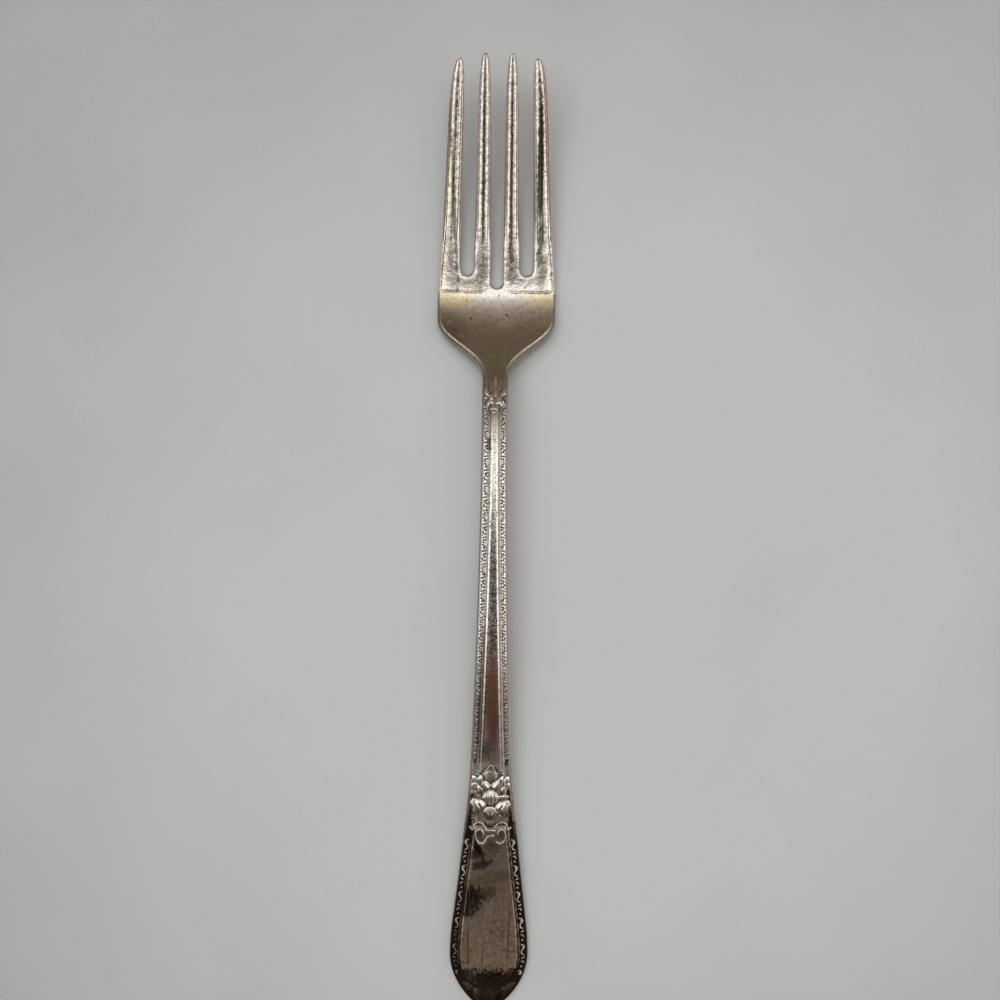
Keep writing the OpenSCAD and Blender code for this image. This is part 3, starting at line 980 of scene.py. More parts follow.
@dataclass
class Stroke:
    """A raised stroke of the chaser's tool: a path across and along, with its half width."""

    path: list[tuple[float, ...]]
    height: float
    power: float = 0.75

    def lift(self, s: Array, x: Array) -> Array:
        """Height over the ground: a dome over the nearest stretch of the path.

        The distance to each straight stretch is taken, and its half width is blended
        between its two ends.

        Args:
            s: places along the fork.
            x: places across it.

        Returns:
            Height of each point.
        """
        best = np.zeros(np.broadcast(s, x).shape)
        for (x0, s0, r0), (x1, s1, r1) in zip(self.path[:-1], self.path[1:]):
            dx, ds = x1 - x0, s1 - s0
            u = bound(((x - x0) * dx + (s - s0) * ds) / max(dx * dx + ds * ds, 1e-9))
            far = np.hypot(x - x0 - u * dx, s - s0 - u * ds) / (r0 + (r1 - r0) * u)
            best = np.maximum(best, self.height * np.maximum(0.0, 1 - far**2) ** self.power)
        return best


@dataclass
class Leaf:
    """A petal or leaf: a pointed dome with grooves that run along it."""

    x: float
    s: float
    length: float
    width: float
    turn: float
    height: float
    ribs: int
    blunt: float = 0.35
    groove: float = 0.3

    def lift(self, s: Array, x: Array) -> Array:
        """Height over the ground: a dome times a cosine across it, once for each rib.

        Args:
            s: places along the fork.
            x: places across it.

        Returns:
            Height of each point.
        """
        c, d = math.cos(math.radians(self.turn)), math.sin(math.radians(self.turn))
        along = ((s - self.s) * c - (x - self.x) * d) / (self.length / 2)
        aside = ((x - self.x) * c + (s - self.s) * d) / (self.width / 2)
        near = np.clip(along, -1, 1)
        q = aside / (np.maximum(1e-3, 1 - near**2) ** self.blunt * (1 - 0.25 * near))
        dome = np.maximum(0.0, 1 - q * q) ** 0.7 * np.maximum(0.0, 1 - along**2) ** 0.55
        rib = 1 - self.groove * (0.5 - 0.5 * np.cos(np.pi * self.ribs * (q + 1)))
        return np.where(np.abs(along) < 1, self.height * dome * rib, 0.0)


@dataclass
class Shield:
    """A low raised field with a flat top, level sides and a rounded V at its foot."""

    foot: float
    waist: float
    top: float
    half: float
    height: float
    power: float = 1.6

    def lift(self, s: Array, x: Array) -> Array:
        """Height over the front: full inside the outline, with an eased slope at its edge.

        Args:
            s: places along the fork.
            x: places across it.

        Returns:
            Height of each point.
        """
        down = bound((self.waist - s) / (self.waist - self.foot))
        wide = self.half * (1 - down**self.power) ** (1 / self.power)
        inside = np.minimum((wide - np.abs(x)) * 0.75, (self.top - s) / 4) / 0.4
        return self.height * soft(inside) * (s > self.foot)


Mark = Stroke | Leaf | Shield


def strokes(height: float, *rows: tuple[float, ...], power: float = 0.75) -> list[Mark]:
    """Strokes of one height; a row holds place across, place along and half width, point by point."""
    return [Stroke([row[i:i + 3] for i in range(0, len(row), 3)], height, power) for row in rows]


def leaves(*rows: tuple[float, ...]) -> list[Mark]:
    """Leaves, each from a row of its sizes."""
    return [Leaf(*row) for row in rows]


@dataclass
class Chasing:
    """Ornament in low relief that sits on the front of the fork."""

    name: str
    start: float
    end: float
    marks: list[Mark] = field(default_factory=list)
    pitch: float = 0.06
    least: float = 0.012
    depth: float = 0.08

    def span(self, s: Array) -> tuple[Array, Array]:
        """Left and right limits of the ornament at s."""
        room = FORM.half(s) - 0.45 * FORM.edge(s)
        return -room, room

    def lift(self, s: Array, x: Array) -> Array:
        """Height over the front: the highest of all marks."""
        return np.maximum.reduce([mark.lift(s, x) for mark in self.marks])

    def painted_shade_share(self, s: Array) -> Array:
        """Share of the relief's height, from its top, that is kept dark as painted shade at s: none here."""
        return np.zeros_like(s)

    def cells(self, raised: Array) -> Array:
        """Cells of the grid with a raised corner, and a third one where two touch only at a corner.

        Args:
            raised: which points of the grid are raised.

        Returns:
            Which of its cells are kept.
        """
        cells = raised[:-1, :-1] | raised[1:, :-1] | raised[:-1, 1:] | raised[1:, 1:]
        cells[0, :] = cells[-1, :] = cells[:, 0] = cells[:, -1] = False
        low_left, low_right, top_left, top_right = cells[:-1, :-1], cells[:-1, 1:], cells[1:, :-1], cells[1:, 1:]
        for _ in range(3):
            top_left[...] = top_left | (low_left & top_right & ~low_right)
            low_left[...] = low_left | (top_left & low_right & ~top_right)
        return cells

    def build(self, finish: "SilverFinish", slot_name: str) -> None:
        """Makes the raised marks as closed solids that are seated just under the front.

        Their top follows the front plus the relief, their bottom lies a little under the
        front, and walls stand on each edge that only one kept cell has.

        Args:
            finish: the metal's finish.
            slot_name: the record's material slot.
        """
        s = np.arange(self.start, self.end + self.pitch / 2, self.pitch)
        low, high = self.span(s)
        columns = int(math.ceil(float((high - low).max()) / self.pitch))
        x = low[:, None] + (high - low)[:, None] * np.linspace(0, 1, columns + 1)[None, :]
        s = s[:, None] + 0 * x
        rise = self.lift(s, x)
        raised = rise > self.least
        cells = self.cells(raised)
        normals = sheet_normals(lambda s, x: FORM.front(s, x) + self.lift(s, x), s, x, 0.02)
        base = FORM.front(s, x)
        upper = FORM.place(s, x, base + np.where(raised, rise, -0.02))
        lower = FORM.place(s, x, base - self.depth)
        padded = np.pad(cells, 1)
        used = padded[:-1, :-1] | padded[1:, :-1] | padded[:-1, 1:] | padded[1:, 1:]
        total = int(used.sum())
        number = np.full(used.shape, -1)
        number[used] = np.arange(total)
        # The painted shade lowers the share, so the relief is darker and less rubbed there.
        share = (rise / rise.max() - self.painted_shade_share(s))[used]
        piece = Piece(self.name)
        piece.add_points(upper[used], normals[used], grime=1 - soft(share / 0.4), crest=soft((share - 0.42) / 0.3))
        piece.add_points(lower[used], -normals[used], grime=np.ones(total))
        i, j = np.nonzero(cells)
        a, b, c, d = number[i, j], number[i, j + 1], number[i + 1, j + 1], number[i + 1, j]
        piece.faces = [np.stack([a, b, c, d], axis=-1), np.stack([a, d, c, b], axis=-1) + total]
        for di, dj, p, q in ((-1, 0, a, b), (0, 1, b, c), (1, 0, c, d), (0, -1, d, a)):
            free = ~padded[i + 1 + di, j + 1 + dj]
            p, q = p[free], q[free]
            piece.faces.append(np.stack([p, p + total, q + total, q], axis=-1))
        piece.finish(finish, [self.name], slot_name)


@dataclass
class HuskBorder(Chasing):
    """A border of small husks between the edge and the panel, with one motif repeated."""

    pitch: float = 0.08
    side: int = 1
    motif_l: float = 5.2
    motif_from: float = 0.0
    height: float = 0.2
    curled: bool = False
    # Painted shade on the husks: full on the tip's side of a place, fading out over 8 mm past it.
    painted_shade: float = 0.0
    painted_shade_at: float = 0.0

    def span(self, s: Array) -> tuple[Array, Array]:
        """Limits of the band: from the foot of the panel to the rounded edge.

        Args:
            s: places along the fork.

        Returns:
            Left and right limits.
        """
        inner = FORM.panel(s) + FORM.bevel(s) - 0.04
        outer = FORM.half(s) - 0.7 * FORM.edge(s)
        return (inner, outer) if self.side > 0 else (-outer, -inner)

    def painted_shade_share(self, s: Array) -> Array:
        """The border's share of painted shade, on the tip's side of one place."""
        return self.painted_shade * (1 - soft((s - self.painted_shade_at) / 8.0))

    def lift(self, s: Array, x: Array) -> Array:
        """Height over the band, with the marks repeated along it.

        The marks stand by themselves if curled, or else they are cut out of a rounded bead.

        Args:
            s: places along the fork.
            x: places across it.

        Returns:
            Height of each point.
        """
        inner = FORM.panel(s) + FORM.bevel(s) + 0.02
        b = (self.side * x - inner) / (FORM.half(s) - 0.8 * FORM.edge(s) - inner)
        t = np.mod(self.motif_from - s, self.motif_l)
        marks = np.maximum.reduce([
            mark.lift(t + shift, b * 0.8) for shift in (0.0, self.motif_l, -self.motif_l) for mark in self.marks
        ])
        bead = np.maximum(0.0, 1 - ((b - 0.5) / 0.5) ** 2) ** 0.7
        fade = soft((s - self.start - 0.1) / 0.3) * soft((self.end - 0.1 - s) / 0.3)
        return fade * (marks if self.curled else np.maximum(self.height * bead - marks, 0.0))


def math_methods(kind: str) -> tuple[Callable, Callable]:
    """Two methods that add a Math node: on a wire and a value, and with the two swapped.

    Args:
        kind: the node's operation.

    Returns:
        The plain method and the reflected one.
    """
    def forward(self: "Wire", other: object) -> "Wire":
        """The node's result for this wire and the other value."""
        return self.board.node("ShaderNodeMath", {"operation": kind}, {"0": self, "1": other})

    def reflected(self: "Wire", other: object) -> "Wire":
        """The node's result for the other value and this wire."""
        return self.board.node("ShaderNodeMath", {"operation": kind}, {"0": other, "1": self})
    return forward, reflected


class Wire:
    """A shader socket that takes part in Python expressions by adding Math nodes."""

    __add__, __radd__ = math_methods("ADD")
    __sub__, __rsub__ = math_methods("SUBTRACT")
    __mul__, __rmul__ = math_methods("MULTIPLY")
    __truediv__, __rtruediv__ = math_methods("DIVIDE")
    least = math_methods("MINIMUM")[0]
    most = math_methods("MAXIMUM")[0]

    def __init__(self, board: "Board", socket: bpy.types.NodeSocket) -> None:
        """Wraps a socket of a board."""
        self.board = board
        self.socket = socket

    def size(self) -> "Wire":
        """Value without its sign."""
        return self.board.node("ShaderNodeMath", {"operation": "ABSOLUTE"}, {"0": self})

    def between(self, low: float, high: float) -> "Wire":
        """Smooth step from 0 at low to 1 at high, or falling if high is less.

        Args:
            low: value that gives 0.
            high: value that gives 1.

        Returns:
            The step as a wire.
        """
        inputs = {"Value": self, "From Min": low, "From Max": high}
        settings = {"interpolation_type": "SMOOTHSTEP", "clamp": True}
        return self.board.node("ShaderNodeMapRange", settings, inputs)


class Board:
    """The node tree of a material or the world, with one way to add any node."""

    def __init__(self, tree: bpy.types.NodeTree) -> None:
        """Clears the tree."""
        self.tree = tree
        tree.nodes.clear()

    def node(self, kind: str, settings: dict | None = None, inputs: dict | None = None, output: str = "") -> Wire:
        """Adds a node.

        Args:
            kind: the node's type.
            settings: its own settings; stops of a colour ramp are given as "stops".
            inputs: values or wires of its sockets, by name or by number.
            output: name of the output that is returned, or nothing for the first.

        Returns:
            The output as a wire.
        """
        made = self.tree.nodes.new(kind)
        for name, value in (settings or {}).items():
            if name == "stops":
                self._stops(made.color_ramp, value)
            else:
                setattr(made, name, value)
        for name, value in (inputs or {}).items():
            sockets = [k for k in made.inputs if k.enabled]
            socket = sockets[int(name)] if name.isdigit() else next(k for k in sockets if k.name == name)
            if isinstance(value, Wire):
                self.tree.links.new(value.socket, socket)
            else:
                socket.default_value = value
        outputs = [k for k in made.outputs if k.enabled and output in ("", k.name)]
        return Wire(self, outputs[0] if outputs else None)

    @staticmethod
    def _stops(color_ramp: bpy.types.ColorRamp, stops: list[tuple[float, ...]]) -> None:
        """Sets a ramp's stops, each given as place, red, green and blue.

        Args:
            color_ramp: the ramp of a node.
            stops: the stops, in order.
        """
        while len(color_ramp.elements) > 1:
            color_ramp.elements.remove(color_ramp.elements[-1])
        for number, (place, *colour) in enumerate(stops):
            element = color_ramp.elements.new(place) if number else color_ramp.elements[0]
            element.position = place
            element.color = (*colour, 1.0)

    def mix(self, share: object, low: object, high: object) -> Wire:
        """Colour that goes from low to high as share goes from 0 to 1."""
        low, high = (c if isinstance(c, Wire) else (*c, 1.0) for c in (low, high))
        return self.node("ShaderNodeMix", {"data_type": "RGBA"}, {"Factor": share, "A": low, "B": high})

    def noise(self, at: Wire, scale: float, detail: float, rough: float, lean: float = 0.0) -> Wire:
        """Noise of a given scale per metre, with a distortion."""
        inputs = {"Vector": at, "Scale": scale, "Detail": detail, "Roughness": rough, "Distortion": lean}
        return self.node("ShaderNodeTexNoise", {}, inputs)

    def hairs(self, at: Wire, scale: tuple[float, float, float], turn: float) -> Wire:
        """Noise that is stretched into fine lines, turned about the vertical."""
        inputs = {"Vector": at, "Rotation": (0.0, 0.0, math.radians(turn)), "Scale": scale}
        return self.noise(self.node("ShaderNodeMapping", {}, inputs), 1.0, 2.0, 0.5)


class Tone(Enum):
    """Colours that rubbing and dirt leave on the plate, and of painted highlights, shade and reflections."""

    BLACK = (0.02, 0.013, 0.011)
    BROWN = (0.16, 0.10, 0.065)
    COPPER = (0.52, 0.27, 0.18)
    RED = (0.38, 0.18, 0.125)
    PLUM = (0.10, 0.06, 0.055)
    OLIVE = (0.40, 0.37, 0.20)
    GOLD = (0.96, 0.82, 0.50)
    GREY = (0.34, 0.32, 0.31)
    # Colour of painted highlights and glints.
    PAINTED_HIGHLIGHT = (0.94, 0.92, 0.89)


BLACK, BROWN, COPPER, RED, PLUM, OLIVE, GOLD, GREY, PAINTED_HIGHLIGHT = Tone


@dataclass(frozen=True)
class Patch:
    """A patch of colour with a ragged rim, for real marks on the plate and for painted highlights, shade and
    reflections.

    Its place, half width and half length in millimetres, tone, share, turn in degrees,
    raggedness, width of its faded rim, whether it is only a ring, and grain.
    """

    x: float
    y: float
    width: float
    length: float
    tone: Tone
    share: float = 0.8
    turn: float = 0.0
    rag: float = 0.9
    fade: float = 0.35
    ring: bool = False
    grain: float = 0.0

    def mask(self, board: Board, at: Wire, rough: Wire, speckle: Wire) -> Wire:
        """1 inside the patch, or on its rim for a ring: the distance in an ellipse, shifted by the noise.

        Args:
            board: the material's node tree.
            at: place on the piece in metres.
            rough: noise that makes the rim ragged.
            speckle: finer noise, for the grain.

        Returns:
            Share of the patch at each point.
        """
        flat = board.node("ShaderNodeMapping", {"vector_type": "TEXTURE"}, {
            "Vector": at, "Location": (self.x * MM, self.y * MM, 0.0),
            "Rotation": (0.0, 0.0, math.radians(self.turn)), "Scale": (self.width * MM, self.length * MM, 1.0),
        })
        far = board.node("ShaderNodeVectorMath", {"operation": "LENGTH"}, {"0": flat}, "Value")
        far = far + (rough - 0.5) * self.rag * 2.2
        if self.grain:
            far = far + (speckle - 0.5) * self.grain
        if self.ring:
            return (far - 0.85).size().between(0.3, 0.0) * self.share
        return far.between(1.15, 1.15 - self.fade) * self.share


@dataclass(frozen=True)
class SilverFinish:
    """Worn silver plate: bright metal, a warm tarnish, dirt in hollows, pits and fine scratches, with painted
    shade and painted highlights in its colour.
    """

    name: str
    silver: Colour
    tarnish: Colour = (0.40, 0.31, 0.23)
    # Colour of dirt, also laid on as painted shade in creases, on side walls and at the handle's edges.
    dirt: Colour = (0.03, 0.02, 0.015)
    # Colour of rubbed metal, also laid on as painted highlights on edges, the bowl's lip and the slots' rims.
    rubbed: Colour = (0.88, 0.86, 0.83)
    # Colour of the side walls' tarnish and painted shade.
    wall_tarnish_shade_tone: Colour = (0.14, 0.105, 0.08)
    tarnish_share: float = 0.25
    roughness: float = 0.15
    scuff: float = 0.1
    dents: float = 0.02
    pits: float = 0.3
    # Strength of the rubbed colour: rubbed metal and painted highlight alike.
    wear_and_light: float = 0.75
    mottle: float = 0.15
    sparkle: float = 0.12
    patches: tuple[tuple[float | Tone, ...], ...] = ()

    def material(self) -> bpy.types.Material:
        """Makes the material, once for each name.

        Its layers, from the lowest: silver and tarnish, patches of stain and of painted highlight, shade and
        reflection, the side wall's tarnish and painted shade, scratches, mottling, dirt and painted shade in
        hollows and creases, pits, and rubbed metal with painted highlights.

        Returns:
            The material, new or made before.
        """
        made = bpy.data.materials.get(self.name)
        if made is not None:
            return made
        made = bpy.data.materials.new(self.name)
        made.use_nodes = True
        board = Board(made.node_tree)
        at = board.node("ShaderNodeTexCoord", output="Object")
        grime, crest, wall = (
            board.node("ShaderNodeAttribute", {"attribute_name": name}, output="Fac")
            for name in ("grime", "crest", "wall")
        )
        cloudy = board.noise(at, 170.0, 5.0, 0.62, 0.4)
        fine = board.noise(at, 1300.0, 4.0, 0.65)
        speckle = board.noise(at, 4600.0, 2.0, 0.7)
        less = 0.3 * self.tarnish_share
        stain = (cloudy * 0.65 + fine * 0.35).between(0.62 - less, 0.8 - less)
        colour = board.mix(stain * self.tarnish_share * 2.0, self.silver, self.tarnish)
        # Patches: stains, painted highlights, painted shade and painted reflections.
        for row in self.patches:
            spot = Patch(*row)
            colour = board.mix(spot.mask(board, at, fine, speckle), colour, spot.tone.value)
        # Tarnish and painted shade of the side walls.
        colour = board.mix(wall * 1.35, colour, self.wall_tarnish_shade_tone)
        hair = board.hairs(at, (9000.0, 260.0, 260.0), 12.0)
        cross = board.hairs(at, (7000.0, 300.0, 300.0), -52.0)
        lines = hair.between(0.6, 0.7) + cross.between(0.62, 0.72)
        colour = board.mix(lines * self.scuff, colour, self.tarnish)
        mottled = (fine * 0.7 + speckle * 0.3).between(0.46, 0.66)
        colour = board.mix(mottled * self.mottle, colour, self.dirt)
        pit = board.node("ShaderNodeTexVoronoi", {"feature": "F1"}, {"Vector": at, "Scale": 900.0}, "Distance")
        chance = board.noise(at, 700.0, 1.0, 0.5)
        pits = pit.between(0.16, 0.07) * chance.between(0.66, 0.7) * self.pits
        # Dirt, pits and painted shade, with a ragged rim.
        ragged = (grime + (fine - 0.5) * 0.8 + (speckle - 0.5) * 0.4).between(0.3, 0.72).most(pits)
        colour = board.mix(ragged, colour, self.dirt)
        # Rubbed metal and painted highlights.
        colour = board.mix(crest * self.wear_and_light * fine.between(0.3, 0.5), colour, self.rubbed)
        roughness = self.roughness + stain * 0.16 + ragged * 0.35 + lines * self.scuff * 0.6 + (fine - 0.5) * 0.08
        height = board.noise(at, 620.0, 2.0, 0.5) * 1.6 + fine * 0.8 + speckle * self.sparkle - ragged * 0.3
        bump = board.node("ShaderNodeBump", {}, {"Strength": 1.0, "Distance": self.dents * MM, "Height": height})
        shader = board.node("ShaderNodeBsdfPrincipled", {}, {
            "Base Color": colour, "Metallic": 1.0, "Roughness": roughness, "Normal": bump,
        })
        board.node("ShaderNodeOutputMaterial", {}, {"Surface": shader})
        return made


@dataclass(frozen=True)
class Studio:
    """The pale table, the soft surroundings that the metal mirrors, and the camera.

    The two lists give the surroundings' colours over the fork and beside it, each as
    angle along the fork in degrees from straight up, red, green and blue.
    """

    floor_colour: Colour = (0.49, 0.502, 0.503)
    camera_at: tuple[float, float, float] = (0.0012, 0.008, 0.300)
    lens: float = 53.25
    lean: float = 0.69
    above: tuple[tuple[float, ...], ...] = (
        (-90, 0.16, 0.15, 0.145), (-62, 0.09, 0.08, 0.07), (-45, 0.08, 0.07, 0.06), (-34, 0.10, 0.085, 0.075),
        (-27, 0.15, 0.125, 0.11), (-22, 0.17, 0.145, 0.13), (-18.5, 0.26, 0.24, 0.22),
        (-14.5, 0.54, 0.525, 0.505), (-10.5, 0.46, 0.45, 0.435), (-6.5, 0.5, 0.49, 0.475),
        (-3.5, 1.2, 1.19, 1.16), (0, 1.45, 1.43, 1.4), (5, 1.45, 1.43, 1.4), (12, 1.15, 1.13, 1.1),
        (16, 0.72, 0.68, 0.62), (20, 0.58, 0.52, 0.46), (27, 0.38, 0.33, 0.285), (38, 0.305, 0.26, 0.21),
        (55, 0.19, 0.16, 0.125), (75, 0.26, 0.24, 0.22), (90, 0.35, 0.34, 0.33),
    )
    beside: tuple[tuple[float, ...], ...] = (
        (-90, 0.22, 0.21, 0.20), (-50, 0.12, 0.105, 0.09), (-29, 0.13, 0.115, 0.10), (-24, 0.36, 0.33, 0.3),
        (-20.5, 1.15, 1.09, 1.02), (-16, 1.6, 1.55, 1.48), (-8, 1.45, 1.41, 1.35), (12, 1.2, 1.16, 1.11),
        (20, 0.48, 0.42, 0.36), (32, 0.20, 0.17, 0.14), (60, 0.2, 0.17, 0.14), (90, 0.32, 0.31, 0.3),
    )

    def build(self) -> None:
        """Makes the table, the world, the lamp and the camera."""
        self.table()
        self.surroundings()
        self.lamp()
        self.camera()

    def table(self) -> None:
        """A wide round table top at the height that the fork rests on, with a painted pool of light: lighter round
        a point beside the fork and darker further out.
        """
        turn = np.linspace(0, 2 * math.pi, 97)[:-1]
        points = np.stack([4 * np.cos(turn), 4 * np.sin(turn), np.zeros(96)], axis=-1)
        mesh = bpy.data.meshes.new("table_top")
        mesh.from_pydata(points.tolist(), [], [list(range(96))])
        made = bpy.data.objects.new("table_top", mesh)
        bpy.context.collection.objects.link(made)
        finish = bpy.data.materials.new("pale_table")
        finish.use_nodes = True
        board = Board(finish.node_tree)
        at = board.node("ShaderNodeTexCoord", output="Object")
        cloud = board.noise(at, 26.0, 3.0, 0.5)
        grain = board.noise(at, 1500.0, 3.0, 0.6)
        # Centre of the painted pool of light on the table.
        middle = {"0": at, "1": (0.024, -0.014, 0.0)}
        far = board.node("ShaderNodeVectorMath", {"operation": "DISTANCE"}, middle, "Value")
        # Painted fall-off of the light away from that centre, with a cloudy and a fine grain.
        tone = far.between(0.04, 0.19) * 0.95 + (cloud - 0.5) * 0.5 + (grain - 0.5) * 0.16
        # Colour of the table where the painted light has fallen off.
        dark = tuple(c * 0.72 for c in self.floor_colour)
        shader = board.node("ShaderNodeBsdfPrincipled", {}, {
            "Base Color": board.mix(tone.most(0.0).least(1.0), self.floor_colour, dark),
            "Roughness": 0.6, "Specular IOR Level": 0.3,
        })
        board.node("ShaderNodeOutputMaterial", {}, {"Surface": shader})
        mesh.materials.append(finish)

    def surroundings(self) -> None:
        """The world: a band over the fork that runs from dark to a white lamp and back, with bright sides.

        The direction's angle along the fork picks a colour from a ramp, its angle to the
        side blends that to the bright sides, and near the horizon all turns pale.
        """
        world = bpy.data.worlds.new("soft_room")
        bpy.context.scene.world = world
        world.use_nodes = True
        board = Board(world.node_tree)
        way = board.node("ShaderNodeTexCoord", output="Generated")
        parts = board.node("ShaderNodeSeparateXYZ", {}, {"Vector": way}).socket.node
        x, y, z = (Wire(board, part) for part in parts.outputs)
        up = z.most(0.02)
        angle, aside = (
            board.node("ShaderNodeMath", {"operation": "ARCTAN2"}, {"0": part, "1": up}) * (180.0 / math.pi)
            for part in (y, x)
        )
        centre, flank = (
            board.node(
                "ShaderNodeValToRGB", {"stops": [((degrees + 90) / 180, *colour) for degrees, *colour in rows]},
                {"Fac": angle / 180.0 + 0.5},
            )
            for rows in (self.above, self.beside)
        )
        wall = board.mix(x.between(-0.2, 0.2), (0.17, 0.145, 0.13), (0.46, 0.39, 0.35))
        colour = board.mix((aside - 2.0).size().between(9.0, 24.0), centre, flank)
        colour = board.mix(z.between(0.62, 0.42) * aside.size().between(40.0, 60.0), colour, wall)
        colour = board.mix(z.between(0.26, 0.06), colour, (0.46, 0.46, 0.455))
        light = board.node("ShaderNodeBackground", {}, {"Color": colour, "Strength": 1.0})
        board.node("ShaderNodeOutputWorld", {}, {"Surface": light})

    def lamp(self) -> None:
        """One wide soft lamp overhead, for the table and the shadow.

        The metal mirrors the bright band of the world instead of it, so that the band
        keeps a plain level.
        """
        data = bpy.data.lights.new("soft_lamp", "AREA")
        data.shape = "DISK"
        data.size = 1.8
        data.energy = 19.5
        data.color = (0.97, 0.985, 1.0)
        made = bpy.data.objects.new("soft_lamp", data)
        made.location = (-0.25, 0.35, 1.7)
        made.rotation_euler = (math.radians(-11.6), math.radians(-8.4), 0.0)
        made.visible_glossy = False
        bpy.context.collection.objects.link(made)

    def camera(self) -> None:
        """The camera, straight over the fork, turned a little about its own line of sight."""
        data = bpy.data.cameras.new("camera")
        data.sensor_width = 36.0
        data.lens = self.lens
        data.clip_start = 0.01
        data.clip_end = 20.0
        made = bpy.data.objects.new("camera", data)
        made.location = self.camera_at
        made.rotation_euler = (0.0, 0.0, math.radians(self.lean))
        bpy.context.collection.objects.link(made)
        bpy.context.scene.camera = made


# Cuts between the husks of the stem, in one motif of hooks, notches, bars and a dot.
HUSK_MARKS = [
    *strokes(
        0.26,
        (0.8, 0.0, 0.12, 0.4, 0.1, 0.13, 0.26, 0.45, 0.12, 0.45, 0.78, 0.1),
        (0.0, 1.22, 0.11, 0.45, 1.3, 0.13, 0.8, 1.55, 0.12),
        (0.0, 1.75, 0.12, 0.32, 1.92, 0.13, 0.36, 2.3, 0.12, 0.12, 2.5, 0.1),
        (0.8, 2.6, 0.12, 0.52, 2.72, 0.13, 0.44, 3.08, 0.12, 0.08, 3.22, 0.1),
        (0.0, 3.78, 0.11, 0.8, 4.0, 0.12),
        (0.04, 4.3, 0.1, 0.4, 4.4, 0.13, 0.5, 4.72, 0.12, 0.28, 4.95, 0.1),
    ),
    *strokes(
        0.24, (0.0, 0.62, 0.11, 0.14, 0.8, 0.1), (0.58, 1.98, 0.1, 0.8, 2.08, 0.12),
        (0.64, 3.42, 0.12, 0.66, 3.46, 0.12),
    ),
]

# Raised husks of the handle's end: two hooks that make an S, a bar, a small hook and dots.
END_HUSK_MARKS = [
    *strokes(
        0.2,
        (0.12, 0.1, 0.163, 0.5, 0.2, 0.188, 0.68, 0.6, 0.188, 0.5, 1.0, 0.163, 0.3, 1.2, 0.15),
        (0.3, 1.2, 0.15, 0.1, 1.6, 0.175, 0.22, 2.05, 0.175, 0.58, 2.2, 0.15),
        (0.6, 2.7, 0.188, 0.25, 2.95, 0.15), (0.35, 4.55, 0.2, 0.38, 4.65, 0.2),
    ),
    *strokes(
        0.18, (0.35, 0.6, 0.15, 0.36, 0.65, 0.15),
        (0.15, 3.55, 0.125, 0.5, 3.5, 0.163, 0.62, 3.9, 0.138),
    ),
]

# Marks of the flower spray: a leaf, two stars of small leaves, a ribbed bud, petals and a calyx.
SPRAY_MARKS = [
    *leaves(
        (0.08, 48.5, 5.06, 2.95, 0, 0.2, 0, 0.6),
        (-2.95, 47.5, 2.3, 1.3, 45, 0.38, 1), (-2.1, 47.5, 2.1, 1.2, -6, 0.38, 1),
        (-3.25, 46.4, 1.5, 1.1, 72, 0.34, 1), (-3.35, 44.95, 1.32, 0.83, 84, 0.3, 1),
        (-2.35, 45.6, 2.09, 1.42, 30, 0.2, 1), (-0.95, 46.3, 2.31, 1.77, 38, 0.36, 2),
        (1.2, 46.4, 2.53, 1.77, -38, 0.36, 2), (2.1, 47.5, 2.0, 1.2, -32, 0.38, 1),
        (3.15, 47.3, 2.1, 1.2, -20, 0.38, 1), (3.3, 46.4, 1.4, 1.1, -62, 0.32, 1),
        (2.75, 45.4, 2.09, 1.53, -20, 0.22, 1), (0.05, 43.95, 3.25, 3.48, 0, 0.5, 5, 0.5, 0.24),
        (2.65, 44.05, 1.1, 2.36, 0, 0.3, 0, 0.5), (-2.65, 42.15, 3.63, 3.48, 28, 0.44, 4, 0.5, 0.13),
        (2.7, 41.8, 3.63, 3.3, -28, 0.44, 4, 0.5, 0.13), (0.0, 40.65, 2.86, 2.95, 180, 0.34, 1, 0.5),
    ),
    *strokes(0.14, (-3.95, 40.3, 0.13, -2.1, 40.2, 0.13)),
    *strokes(0.2, (3.6, 40.25, 0.14, 3.95, 40.1, 0.13)),
    *strokes(0.2, *(
        (x - 0.1, s, 0.3, x + 0.15, s - 0.2, 0.22) for x in (-2.62, 2.58) for s in (50.6, 50.0, 49.4, 48.8)
    )),
    *strokes(0.26, (-3.8, 39.6, 0.17, -2.5, 39.9, 0.2), (2.95, 39.7, 0.16, 3.65, 39.25, 0.18)),
    *strokes(0.28, (-0.45, 50.1, 0.13, -0.95, 49.3, 0.17, -1.4, 48.5, 0.2)),
    *strokes(0.3, (-1.66, 40.25, 0.26, -1.7, 40.3, 0.26)),
    *strokes(0.32, (0.55, 50.2, 0.14, 0.78, 49.2, 0.24, 1.12, 48.6, 0.24, 1.47, 48.9, 0.18)),
    *strokes(
        0.34, (-1.27, 41.0, 0.26, -1.26, 40.95, 0.26), (1.38, 40.8, 0.26, 1.4, 40.75, 0.26),
        (1.86, 40.15, 0.3, 1.9, 40.1, 0.3),
    ),
    *strokes(0.42, (-0.55, 40.95, 0.16, -0.38, 40.35, 0.13), (0.6, 40.95, 0.16, 0.34, 40.35, 0.13)),
]

